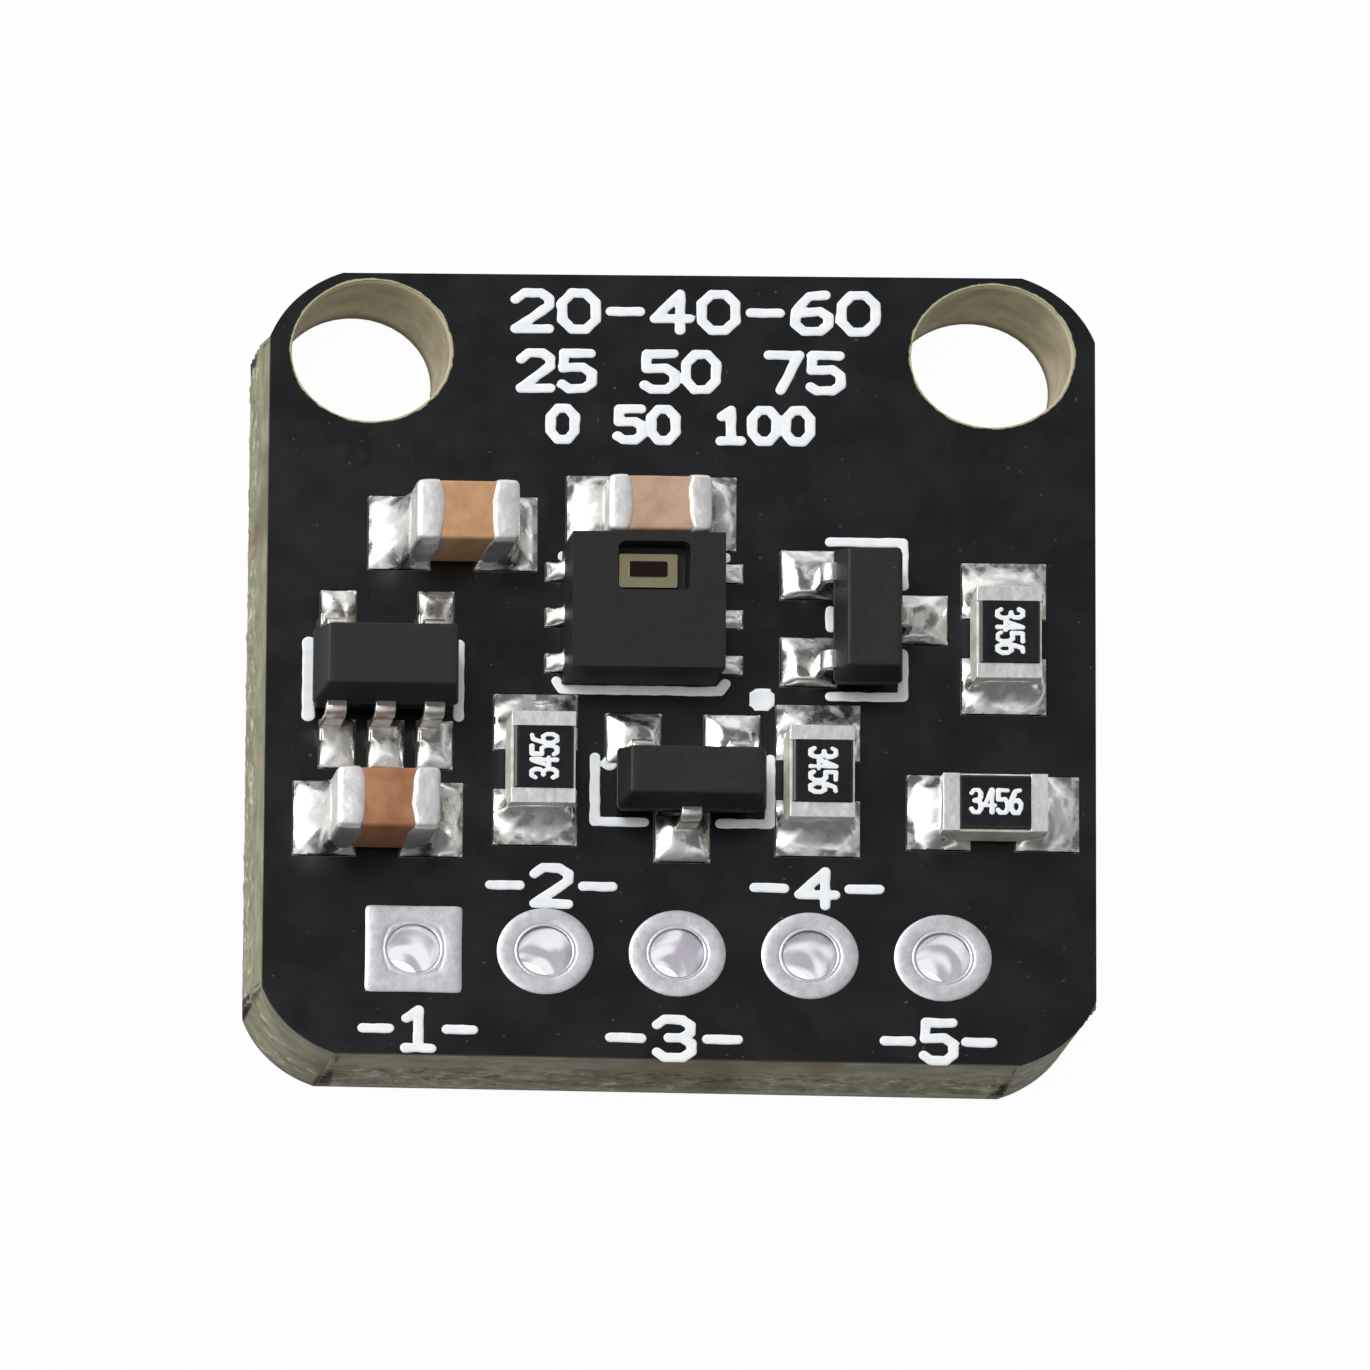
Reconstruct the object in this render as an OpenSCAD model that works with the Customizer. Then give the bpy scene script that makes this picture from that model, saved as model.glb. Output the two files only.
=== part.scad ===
// Temperature and humidity sensor module.
// A small two layer circuit board with a row of five plated holes along its front edge,
// two mounting holes in its back corners and a reflowed set of surface mount parts.
// X runs along the header row, Y towards the mounting holes, Z up from the back face.

/* [Board] */
// Width of the board's face, along the header row
board_w = 16; // [15.8:0.1:22]
// Length of the board's face, from the header edge to the mounting hole edge
board_l = 17.1; // [17:0.1:24]
// Thickness over both coats of solder mask
board_t = 1.6; // [0.8:0.1:2.4]
// Radius of the routed corners
corner_r = 2.3; // [0.5:0.1:3]
// Thickness of each coat of solder mask
mask_t = 0.04; // [0.02:0.01:0.06]
// Bare laminate shown between a land and the mask around it
mask_gap = 0.03; // [0.01:0.01:0.05]
// Depth of the score along each straight edge, from each face
score_depth = 0.4; // [0.1:0.05:0.6]
// Width of the broken web that is left proud of the face's edge
web_out = 0.1; // [0.04:0.02:0.2]

/* [Mounting holes] */
// Diameter of each mounting hole
mount_d = 3.1; // [2:0.1:3.4]
// Distance between the two mounting holes
mount_pitch = 12.04; // [10:0.02:12.1]
// Distance from the back edge to the hole centres
mount_inset = 1.72; // [1.71:0.01:2]
// Width of the ring round each hole that the mask leaves bare
mount_relief = 0.02; // [0.01:0.01:0.03]

/* [Header row] */
// Distance between neighbouring holes
header_pitch = 2.54; // [2:0.02:2.6]
// Finished diameter of each hole
header_d = 1.02; // [0.7:0.02:1.1]
// Outer diameter of each ring, and the side of the square one
header_pad = 1.82; // [1.5:0.02:1.9]
// Distance from the front edge to the row
header_inset = 2.27; // [1.4:0.01:2.6]
// Thickness of the plating in each hole
plating_t = 0.04; // [0.02:0.01:0.06]

/* [Lands and vias] */
// Height that the tinned lands stand over the mask
land_rise = 0.02; // [0.01:0.01:0.04]
// Diameter of each via's drill
via_d = 0.3; // [0.2:0.05:0.4]

/* [Legend] */
// Width of the printed lines
legend_w = 0.2; // [0.1:0.02:0.26]
// Thickness of the printed ink
legend_t = 0.015; // [0.01:0.005:0.03]

/* [Two terminal chips] */
// Length of a chip over its terminals
chip_l = 2; // [1.8:0.05:2.2]
// Width of a resistor
chip_w = 1.25; // [1:0.05:1.3]
// Width of each capacitor over its terminals, in the order of their numbers
capacitor_w = [1.34, 1.25, 1.34]; // [1.1:0.01:1.4]
// Length that each terminal wraps over a resistor
resistor_wrap = 0.33; // [0.25:0.01:0.5]
// Length that each capacitor's terminals wrap over its sides
capacitor_wrap = [0.46, 0.38, 0.46]; // [0.3:0.01:0.6]
// Thickness of the terminal metal
chip_metal = 0.03; // [0.02:0.01:0.06]
// Length over a chip's two lands
chip_land_span = 3.27; // [2.8:0.01:3.4]
// Length of one land
chip_land_l = 1.2; // [0.9:0.05:1.3]
// Width of a land
chip_land_w = 1.6; // [1.3:0.05:1.7]
// Radius of the rounded edges of a capacitor
capacitor_round = 0.1; // [0.04:0.01:0.14]
// How far a capacitor terminal's edge bulges at its middle
capacitor_bulge = 0.08; // [0.02:0.01:0.12]
// Height of each capacitor
capacitor_h = [1.1, 0.8, 1.1]; // [0.6:0.05:1.3]
// Thickness of a resistor over its terminals
resistor_h = 0.5; // [0.35:0.05:0.65]
// Thickness of the glass coat over a resistor's element
overcoat_t = 0.03; // [0.01:0.01:0.05]
// Width that the glass coat leaves bare along each side
overcoat_inset = 0.05; // [0.02:0.01:0.1]

/* [Transistors] */
// Length of the moulded body at its parting line
tran_l = 2.85; // [2.6:0.05:3.1]
// Width of the moulded body at its parting line
tran_w = 1.3; // [1.1:0.05:1.5]
// Height of the body's top over its feet
tran_h = 1; // [0.9:0.05:1.3]
// Distance between the two leads on the one side
tran_pitch = 1.9; // [1.8:0.02:2]
// Distance over the tips of the leads
tran_span = 2.4; // [2.2:0.05:2.7]
// Width and length of a land
tran_land = [1.06, 1.08]; // [0.8:0.02:1.2]
// Distance over the outer edges of the lands
tran_land_span = 3.2; // [3:0.05:3.4]

/* [Regulator] */
// Length of the moulded body at its parting line
reg_l = 2.8; // [2.7:0.05:3.1]
// Width of the moulded body at its parting line
reg_w = 1.6; // [1.5:0.05:1.7]
// Height of the body's top over its feet
reg_h = 1.2; // [1:0.05:1.4]
// Distance between neighbouring leads
reg_pitch = 0.95; // [0.9:0.01:1]
// Distance over the tips of the leads
reg_span = 2.8; // [2.6:0.05:3]
// Width and length of a land
reg_land = [0.68, 1.05]; // [0.5:0.01:1.1]
// Distance over the outer edges of the lands
reg_land_span = 3.88; // [3.7:0.02:4]

/* [Leads and bodies] */
// Width of a lead
lead_w = 0.4; // [0.3:0.02:0.46]
// Thickness of a lead
lead_t = 0.13; // [0.1:0.01:0.16]
// Inner radius of the bends in a lead
lead_bend = 0.08; // [0.05:0.01:0.12]
// Length of the foot of a lead
foot_l = 0.3; // [0.2:0.02:0.34]
// Gap between a body's underside and the lands
body_standoff = 0.08; // [0.04:0.01:0.12]
// Slope of a body's sides, as the inset at its top
body_draft = 0.14; // [0.05:0.01:0.2]
// Length of a lead that is held inside the body
lead_in = 0.2; // [0.1:0.02:0.25]

/* [Sensor] */
// Side of the square sensor package
sensor_side = 2.95; // [2.8:0.05:3]
// Height of the sensor package
sensor_h = 0.8; // [0.75:0.05:1.1]
// Width and depth of the window in its top
window = [1.40, 1.06]; // [1:0.01:1.4]
// How deep the window reaches
window_depth = 0.3; // [0.2:0.02:0.4]
// Distance from the package's middle to the window's middle
window_shift = [0.10, 0.74]; // [0:0.01:0.8]
// Width and depth of the chip that the window shows
die = [1.14, 0.74]; // [0.8:0.01:1.2]
// Height of the chip over the floor of the window
die_h = 0.14; // [0.08:0.01:0.18]
// Width and depth of the sensing film on the chip
film = [0.74, 0.34]; // [0.3:0.01:0.8]
// Thickness of the sensing film
film_t = 0.012; // [0.008:0.002:0.02]
// Distance between neighbouring contacts
sensor_pitch = 1; // [0.9:0.01:1]
// Width of a contact and its land
contact_w = 0.4; // [0.3:0.02:0.46]
// Height of a contact up the package's side
contact_h = 0.2; // [0.15:0.01:0.25]
// Length of a contact under the package
contact_l = 0.4; // [0.3:0.02:0.46]
// Distance over the outer ends of the sensor's lands
sensor_land_span = 3.8; // [3.6:0.02:3.9]
// Width and length of the middle land
slug_side = [1.5, 2.2]; // [1.2:0.05:2.2]

/* [Hidden] */

$fn = 64;
eps = 0.01;         // overrun of a cutter past the face that it cuts
far = 40;           // longer than any side of the board
arc_steps = 6;      // chords in a quarter bend or fillet

// Levels over the back face
core_z = mask_t;
core_top = board_t - mask_t;
seat_z = board_t + land_rise;

header_count = 5;
header_y = -board_l / 2 + header_inset;
mount_y = board_l / 2 - mount_inset;

function header_x(i) = (i - (header_count + 1) / 2) * header_pitch;

// The parts keep their distance from the header row, on a board of any length
layout_y = header_y + 6.28;

function placed(places) = [for (p = places) [p[0], p[1] + layout_y]];

// Places on the board. Each footprint is where the lands are, and each part on it
// sits a little off, as the reflow left it. Turns are in degrees.
capacitor_at = placed([[-4.40, 2.80], [-0.55, 3.29], [-5.80, -3.47]]);
capacitor_off = [[0.03, -0.02], [-0.03, -0.15], [-0.05, -0.03]];
resistor_at = placed([[-2.76, -2.35], [2.68, -2.50], [6.24, 0.64], [6.03, -3.15]]);
resistor_off = [[0.03, 0.04], [-0.05, -0.03], [-0.04, -0.10], [-0.10, 0]];
resistor_turn = [90, 90, 90, 0];
tran_at = placed([[3.56, 1.03], [0.08, -2.70]]);
tran_off = [[-0.09, -0.22], [0.02, -0.08]];
tran_turn = [-90, 180];
reg_at = placed([[-5.66, -0.43]])[0];
reg_off = [-0.17, -0.02];
sensor_at = placed([[-0.68, 0.99]])[0];
sensor_off = [-0.12, 0.01];
window_round = 0.16;
window_slope = 0.04; // inset of the window's sides at its floor
die_at = window_shift - [0.08, 0.04];
die_round = 0.05;
film_at = window_shift - [0.08, 0.01];
slug_clear = 0.25;  // between the middle land and the contacts' lands
dot_at = placed([[1.60, -0.75]])[0];
dot_d = 0.52;
bar_at = placed([[2.92, 1.03]])[0];
bar_l = 0.39;
legend_clear = 0.36; // from a part or its lands to the middle of a printed line
via_at = placed([
    [-6.32, 4.51], [-3.71, 0.30], [2.22, 3.63], [1.75, 1.10],
    [5.98, 4.77], [4.98, -1.35], [6.51, -1.54]
]);

// Solder: how much of a chip's end it wets, and what is left of it at a land's outer end
capacitor_wet = 0.6;
resistor_wet = 0.75;
solder_toe = 0.06;
foot_wet = 0.1;     // height of the solder over a lead's foot
foot_spread = 0.08; // width of the solder beside a lead's foot

// Heights of the leads' shoulders, which are at the bodies' parting lines
tran_level = 0.55 * tran_h;
reg_level = 0.5 * reg_h;

// An offset on the board, seen in the directions of a part that is turned by a
function turned_back(v, a) = [v[0] * cos(a) + v[1] * sin(a), -v[0] * sin(a) + v[1] * cos(a)];

// Points of a quarter ellipse round a centre, from one angle to another
function arc(c, rx, ry, a0, a1) = [
    for (k = [0:arc_steps])
        let (a = a0 + (a1 - a0) * k / arc_steps)
        [c[0] + rx * cos(a), c[1] + ry * sin(a)]
];

// Colours as the photo shows them
mask_colour = [0.13, 0.13, 0.15];
core_colour = [0.55, 0.53, 0.42];
ink_colour = [0.92, 0.95, 0.98];
tin_colour = [0.78, 0.78, 0.77];
solder_colour = [0.86, 0.86, 0.84];
mould_colour = [0.15, 0.15, 0.16];
ceramic_colour = [0.9, 0.88, 0.82];
coat_colour = [0.12, 0.12, 0.13];
copper_colour = [0.72, 0.45, 0.3];
die_colour = [0.84, 0.78, 0.5];
film_colour = [0.16, 0.09, 0.09];
capacitor_colour = [[0.78, 0.59, 0.42], [0.75, 0.61, 0.49], [0.67, 0.46, 0.32]];

// Board

// Outline of the board. The straight edges move out by `out`, and the corners stay.
module board_outline(out = 0) {
    difference() {
        square([board_w + 2 * out, board_l + 2 * out], center = true);
        for (sx = [-1, 1], sy = [-1, 1])
            translate([sx * (board_w / 2 - corner_r), sy * (board_l / 2 - corner_r)])
                routed_corner(sx, sy, corner_r + out + eps);
    }
}

// What the router takes from one corner
module routed_corner(sx, sy, reach) {
    difference() {
        translate([min(0, sx * reach), min(0, sy * reach)]) square(reach);
        circle(r = corner_r);
    }
}

// One score along a straight edge: the wedge above the slope from face to web
module score(half) {
    translate([half, 0, board_t])
        rotate([90, 0, 0])
            linear_extrude(far, center = true)
                polygon([
                    [0, 0], [web_out, -score_depth], [web_out + eps, -score_depth],
                    [web_out + eps, eps], [0, eps]
                ]);
}

module scores() {
    for (side = [0:3])
        rotate(90 * side) {
            half = (side % 2 == 0 ? board_w : board_l) / 2;
            score(half);
            translate([0, 0, board_t]) mirror([0, 0, 1]) score(half);
        }
}

module at_mounts() {
    for (side = [-1, 1]) translate([side * mount_pitch / 2, mount_y]) children();
}

module at_headers() {
    for (i = [1:header_count]) translate([header_x(i), header_y]) children();
}

module at_vias() {
    for (p = via_at) translate(p) children();
}

module laminate() {
    color(core_colour)
        difference() {
            translate([0, 0, core_z])
                linear_extrude(core_top - core_z)
                    difference() {
                        board_outline(web_out);
                        at_mounts() circle(d = mount_d);
                        at_headers() circle(d = header_d + 2 * plating_t);
                        at_vias() circle(d = via_d + 2 * plating_t);
                    }
            scores();
        }
}

// Lands, as flat outlines. `grow` moves each edge out, for the openings in the mask.
module land(at, size, grow) {
    translate(at) square([size[0] + 2 * grow, size[1] + 2 * grow], center = true);
}

module chip_land_outlines(grow) {
    reach = (chip_land_span - chip_land_l) / 2;
    for (s = [-1, 1]) land([s * reach, 0], [chip_land_l, chip_land_w], grow);
}

module capacitor_land_outlines(grow) {
    for (at = capacitor_at) translate(at) chip_land_outlines(grow);
}

module resistor_land_outlines(grow) {
    for (i = [0:3])
        translate(resistor_at[i]) rotate(resistor_turn[i]) chip_land_outlines(grow);
}

module transistor_land_outlines(grow) {
    reach = (tran_land_span - tran_land[1]) / 2;
    for (i = [0:1])
        translate(tran_at[i]) rotate(tran_turn[i]) {
            for (s = [-1, 1]) land([s * tran_pitch / 2, -reach], tran_land, grow);
            land([0, reach], tran_land, grow);
        }
}

module regulator_land_outlines(grow) {
    reach = (reg_land_span - reg_land[1]) / 2;
    translate(reg_at) {
        for (i = [-1:1]) land([i * reg_pitch, -reach], reg_land, grow);
        for (s = [-1, 1]) land([s * reg_pitch, reach], reg_land, grow);
    }
}

module sensor_land_outlines(grow) {
    land_l = (sensor_land_span - slug_side[0]) / 2 - slug_clear;
    reach = (sensor_land_span - land_l) / 2;
    translate(sensor_at) {
        for (s = [-1, 1], i = [-1:1])
            land([s * reach, i * sensor_pitch], [land_l, contact_w], grow);
        land([0, 0], slug_side, grow);
    }
}

module all_land_outlines(grow) {
    capacitor_land_outlines(grow);
    resistor_land_outlines(grow);
    transistor_land_outlines(grow);
    regulator_land_outlines(grow);
    sensor_land_outlines(grow);
}

module lands() {
    color(tin_colour)
        translate([0, 0, core_top])
            linear_extrude(seat_z - core_top)
                children();
}

module mask_openings() {
    at_mounts() circle(d = mount_d + 2 * mount_relief);
    for (i = [1:header_count])
        translate([header_x(i), header_y]) ring_outline(i, mask_gap);
}

module solder_mask_front() {
    color(mask_colour)
        translate([0, 0, core_top])
            linear_extrude(mask_t)
                difference() {
                    board_outline();
                    mask_openings();
                    all_land_outlines(mask_gap);
                }
}

module solder_mask_back() {
    color(mask_colour)
        linear_extrude(mask_t)
            difference() {
                board_outline();
                mask_openings();
            }
}

// Header rings: the first is square, the rest are round
module ring_outline(i, grow = 0) {
    if (i == 1) square(header_pad + 2 * grow, center = true);
    else circle(d = header_pad + 2 * grow);
}

module header_ring(i) {
    color(tin_colour)
        translate([header_x(i), header_y])
            difference() {
                union() {
                    linear_extrude(mask_t) ring_outline(i);
                    linear_extrude(seat_z) circle(d = header_d + 2 * plating_t);
                    translate([0, 0, core_top])
                        linear_extrude(seat_z - core_top) ring_outline(i);
                }
                translate([0, 0, -eps]) cylinder(d = header_d, h = seat_z + 2 * eps);
            }
}

module via_barrels() {
    color(copper_colour)
        translate([0, 0, core_z])
            linear_extrude(core_top - core_z)
                at_vias()
                    difference() {
                        circle(d = via_d + 2 * plating_t);
                        circle(d = via_d);
                    }
}

// Legend

// One printed stroke with round ends
module stroke(a, b, w = legend_w) {
    run = norm(b - a);
    translate(a)
        rotate(atan2(b[1] - a[1], b[0] - a[0])) {
            translate([0, -w / 2]) square([run, w]);
            circle(d = w);
            translate([run, 0]) circle(d = w);
        }
}

module path(points) {
    for (i = [0:len(points) - 2]) stroke(points[i], points[i + 1]);
}

// A bar at each side of the regulator
module regulator_legend() {
    x = reg_pitch + reg_land[0] / 2 + legend_clear;
    for (s = [-1, 1])
        stroke(reg_at + [s * x - legend_w / 4, -reg_w / 2],
               reg_at + [s * x - legend_w / 4, reg_w / 2],
               s < 0 ? 1.3 * legend_w : legend_w);
}

// A bracket along the front of the sensor, with a dot and a tick at its back corners
module sensor_legend() {
    turn = legend_w / 2;
    x = sensor_side / 2 + turn;
    back = sensor_side / 2;
    translate(sensor_at) {
        path([[-x, -back + turn], [-x + turn, -back - turn],
              [x - turn, -back - turn], [x, -back + turn]]);
        translate([-x, back - 1.5 * turn]) circle(d = legend_w);
        stroke([x, back - 1.2 * turn], [x, back - 1.6 * turn]);
    }
}

// Brackets round one transistor, drawn in its own directions
module transistor_legend() {
    x = tran_l / 2 + legend_clear - legend_w / 2;
    front = -tran_w / 2;
    back = tran_w / 2 + legend_w / 2;
    for (s = [-1, 1])
        path([[s * x, front], [s * x, back], [s * (tran_land[0] / 2 + legend_w), back]]);
}

module legend_print() {
    color(ink_colour)
        translate([0, 0, board_t])
            linear_extrude(legend_t) {
                regulator_legend();
                sensor_legend();
                for (i = [0:1]) translate(tran_at[i]) rotate(tran_turn[i]) transistor_legend();
                translate(dot_at) circle(d = dot_d);
                stroke(bar_at - [0, bar_l / 2], bar_at + [0, bar_l / 2]);
            }
}

// Two terminal chips

// A block with rounded edges, standing on z = 0
module soft_block(l, w, h, r) {
    intersection() {
        linear_extrude(h) soft_square(l, w, r);
        translate([0, w, h / 2])
            rotate([90, 0, 0]) linear_extrude(2 * w) soft_square(l, h, r);
        translate([-l, 0, h / 2])
            rotate([90, 0, 90]) linear_extrude(2 * l) soft_square(w, h, r);
    }
}

module soft_square(a, b, r) {
    square([a - 2 * r, b], center = true);
    square([a, b - 2 * r], center = true);
    for (sx = [-1, 1], sy = [-1, 1])
        translate([sx * (a / 2 - r), sy * (b / 2 - r)]) circle(r = r);
}

module capacitor_place(i) {
    translate([capacitor_at[i][0] + capacitor_off[i][0],
               capacitor_at[i][1] + capacitor_off[i][1], seat_z])
        children();
}

module capacitor_core(i) {
    translate([0, 0, chip_metal])
        soft_block(chip_l - 2 * chip_metal, capacitor_w[i] - 2 * chip_metal,
                   capacitor_h[i] - 2 * chip_metal, capacitor_round - chip_metal);
}

module capacitor_body(i) {
    color(capacitor_colour[i]) capacitor_place(i) capacitor_core(i);
}

module capacitor_terminals(i) {
    // a circle through the middle and the sides of the bulged edge
    wide = capacitor_w[i];
    wrap = capacitor_wrap[i];
    bulge_r = (wide * wide / 4 + capacitor_bulge * capacitor_bulge) / (2 * capacitor_bulge);
    color(solder_colour)
        capacitor_place(i)
            difference() {
                soft_block(chip_l, wide, capacitor_h[i], capacitor_round);
                capacitor_core(i);
                translate([0, 0, -eps])
                    linear_extrude(capacitor_h[i] + 2 * eps)
                        difference() {
                            square([chip_l - 2 * wrap, 2 * wide], center = true);
                            for (s = [-1, 1])
                                translate([s * (chip_l / 2 - wrap - capacitor_bulge + bulge_r), 0])
                                    circle(r = bulge_r, $fn = 200);
                        }
            }
}

// A concave fillet from the land's outer end up the face of a terminal at x = 0
module fillet(run, rise, w) {
    rotate([90, 0, 0])
        linear_extrude(w, center = true)
            polygon(concat([[0, 0], [run, 0]],
                           arc([run, rise], run, rise - solder_toe, 270, 180)));
}

// Solder at both ends of a chip that sits at `off` along its own footprint
module chip_solder(off, rise, wide) {
    for (s = [-1, 1])
        mirror([s > 0 ? 0 : 1, 0])
            translate([chip_l / 2, 0])
                fillet((chip_land_span - chip_l) / 2 - s * off, rise, wide);
}

module capacitor_solder(i) {
    color(solder_colour)
        capacitor_place(i)
            chip_solder(capacitor_off[i][0], capacitor_wet * capacitor_h[i],
                        capacitor_w[i] - 2 * capacitor_round);
}

module resistor_place(i) {
    translate([resistor_at[i][0] + resistor_off[i][0],
               resistor_at[i][1] + resistor_off[i][1], seat_z])
        rotate(resistor_turn[i])
            children();
}

module resistor_base(i) {
    color(ceramic_colour)
        resistor_place(i)
            translate([-chip_l / 2 + chip_metal, -chip_w / 2, chip_metal])
                cube([chip_l - 2 * chip_metal, chip_w, resistor_h - 2 * chip_metal]);
}

// Each terminal wraps over the end of the base, above and below it
module resistor_terminals(i) {
    color(solder_colour)
        resistor_place(i)
            for (s = [-1, 1])
                mirror([s > 0 ? 0 : 1, 0])
                    translate([chip_l / 2 - resistor_wrap, chip_w / 2])
                        rotate([90, 0, 0])
                            linear_extrude(chip_w)
                                difference() {
                                    square([resistor_wrap, resistor_h]);
                                    translate([-eps, chip_metal])
                                        square([resistor_wrap - chip_metal + eps,
                                                resistor_h - 2 * chip_metal]);
                                }
}

// The coat lies between the terminals, and its top is a little crowned
module resistor_coat(i) {
    run = chip_l - 2 * resistor_wrap;
    wide = chip_w - 2 * overcoat_inset;
    crown = 2 * overcoat_inset;
    color(coat_colour)
        resistor_place(i)
            translate([0, 0, resistor_h - chip_metal])
                rotate([90, 0, 90])
                    linear_extrude(run, center = true)
                        polygon(concat(
                            [[-wide / 2, 0], [wide / 2, 0]],
                            arc([wide / 2 - crown, chip_metal], crown, overcoat_t, 0, 90),
                            arc([-wide / 2 + crown, chip_metal], crown, overcoat_t, 90, 180)));
}

module resistor_solder(i) {
    along = resistor_turn[i] == 0 ? resistor_off[i][0] : resistor_off[i][1];
    color(solder_colour)
        resistor_place(i)
            chip_solder(along, resistor_wet * resistor_h, chip_w);
}

// Moulded bodies and their leads

// A body standing on z = 0, widest at its parting line, with sloped sides above and below
module drafted_block(l, w, h, part) {
    intersection() {
        translate([0, w, 0])
            rotate([90, 0, 0]) linear_extrude(2 * w) drafted_profile(l, h, part);
        translate([-l, 0, 0])
            rotate([90, 0, 90]) linear_extrude(2 * l) drafted_profile(w, h, part);
    }
}

module drafted_profile(a, h, part) {
    low = body_draft * part / (h - part);
    polygon([
        [-a / 2 + low, 0], [a / 2 - low, 0], [a / 2, part],
        [a / 2 - body_draft, h], [-a / 2 + body_draft, h], [-a / 2, part]
    ]);
}

// Side view of a gull wing lead that leaves a body's side at x = 0 and ends at x = reach.
// Its foot stands on y = 0 and its shoulder is centred on y = level.
function lead_profile(reach, level) =
    let (
        r = lead_bend,
        ro = lead_bend + lead_t,
        drop_x = reach - foot_l,
        top = level + lead_t / 2
    )
    concat(
        [[-lead_in, top - lead_t], [-lead_in, top]],
        arc([drop_x - ro, top - ro], ro, ro, 90, 0),
        arc([drop_x + r, r + lead_t], r, r, 180, 270),
        [[reach, lead_t], [reach, 0]],
        arc([drop_x + r, ro], ro, ro, 270, 180),
        arc([drop_x - ro, top - ro], r, r, 0, 90)
    );

module lead(reach, level) {
    rotate([90, 0, 90])
        linear_extrude(lead_w, center = true)
            polygon(lead_profile(reach, level));
}

// A mound of solder round a foot that ends at y = reach, on a land that ends at y = reach + toe
module foot_solder(reach, level, toe) {
    heel = foot_l + lead_bend;
    peak = lead_t + foot_wet;
    difference() {
        rotate([90, 0, 90])
            linear_extrude(lead_w + 2 * foot_spread, center = true)
                translate([reach, 0])
                    polygon(concat(
                        [[-heel, 0], [toe, 0]],
                        arc([toe, peak], toe, peak - solder_toe, 270, 180),
                        [[-heel, lead_t]]));
        lead(reach, level);
    }
}

module transistor_place(i) {
    translate([tran_at[i][0] + tran_off[i][0], tran_at[i][1] + tran_off[i][1], seat_z])
        rotate(tran_turn[i])
            children();
}

// Where the three leads leave the body, facing outwards
module at_transistor_leads() {
    for (s = [-1, 1]) translate([s * tran_pitch / 2, -tran_w / 2]) rotate(180) children();
    translate([0, tran_w / 2]) children();
}

module transistor_body(i) {
    color(mould_colour)
        transistor_place(i)
            difference() {
                translate([0, 0, body_standoff])
                    drafted_block(tran_l, tran_w, tran_h - body_standoff,
                                  tran_level - body_standoff);
                at_transistor_leads() lead((tran_span - tran_w) / 2, tran_level);
            }
}

module transistor_leads(i) {
    color(tin_colour)
        transistor_place(i)
            at_transistor_leads() lead((tran_span - tran_w) / 2, tran_level);
}

module transistor_solder(i) {
    reach = (tran_span - tran_w) / 2;
    toe = (tran_land_span - tran_span) / 2;
    slip = turned_back(tran_off[i], tran_turn[i])[1];
    color(solder_colour)
        transistor_place(i) {
            for (s = [-1, 1])
                translate([s * tran_pitch / 2, -tran_w / 2])
                    rotate(180) foot_solder(reach, tran_level, toe + slip);
            translate([0, tran_w / 2]) foot_solder(reach, tran_level, toe - slip);
        }
}

module regulator_place() {
    translate([reg_at[0] + reg_off[0], reg_at[1] + reg_off[1], seat_z]) children();
}

// Where the five leads leave the body, facing outwards
module at_regulator_leads() {
    for (i = [-1:1]) translate([i * reg_pitch, -reg_w / 2]) rotate(180) children();
    for (s = [-1, 1]) translate([s * reg_pitch, reg_w / 2]) children();
}

module regulator_body() {
    color(mould_colour)
        regulator_place()
            difference() {
                translate([0, 0, body_standoff])
                    drafted_block(reg_l, reg_w, reg_h - body_standoff,
                                  reg_level - body_standoff);
                at_regulator_leads() lead((reg_span - reg_w) / 2, reg_level);
            }
}

module regulator_leads() {
    color(tin_colour)
        regulator_place()
            at_regulator_leads() lead((reg_span - reg_w) / 2, reg_level);
}

module regulator_solder() {
    color(solder_colour)
        regulator_place()
            at_regulator_leads()
                foot_solder((reg_span - reg_w) / 2, reg_level,
                            (reg_land_span - reg_span) / 2);
}

// Sensor

module sensor_place() {
    translate([sensor_at[0] + sensor_off[0], sensor_at[1] + sensor_off[1], seat_z])
        children();
}

module at_contacts() {
    for (s = [0, 1], i = [-1:1])
        rotate(180 * s) translate([sensor_side / 2, i * sensor_pitch]) children();
}

module contact() {
    translate([-contact_l, -contact_w / 2, 0]) cube([contact_l, contact_w, contact_h]);
}

module sensor_package() {
    floor_z = sensor_h - window_depth;
    color(mould_colour)
        sensor_place()
            difference() {
                translate([-sensor_side / 2, -sensor_side / 2, 0])
                    cube([sensor_side, sensor_side, sensor_h]);
                translate([window_shift[0], window_shift[1], floor_z])
                    intersection() {
                        linear_extrude(window_depth + eps)
                            soft_square(window[0], window[1], window_round);
                        rotate([90, 0, 0])
                            linear_extrude(2 * window[1], center = true)
                                polygon([
                                    [-window[0] / 2 + window_slope, 0],
                                    [window[0] / 2 - window_slope, 0],
                                    [window[0] / 2, window_depth + eps],
                                    [-window[0] / 2, window_depth + eps]
                                ]);
                    }
                at_contacts() contact();
                translate([-slug_side[0] / 2, -slug_side[1] / 2, -eps])
                    cube([slug_side[0], slug_side[1], contact_h + eps]);
            }
}

module sensor_contacts() {
    color(tin_colour)
        sensor_place() {
            at_contacts() contact();
            translate([-slug_side[0] / 2, -slug_side[1] / 2, 0])
                cube([slug_side[0], slug_side[1], contact_h]);
        }
}

module sensor_chip() {
    color(die_colour)
        sensor_place()
            translate([die_at[0], die_at[1], sensor_h - window_depth])
                linear_extrude(die_h)
                    soft_square(die[0], die[1], die_round);
}

module sensor_film() {
    color(film_colour)
        sensor_place()
            translate([film_at[0], film_at[1], sensor_h - window_depth + die_h])
                linear_extrude(film_t)
                    soft_square(film[0], film[1], die_round);
}

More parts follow.
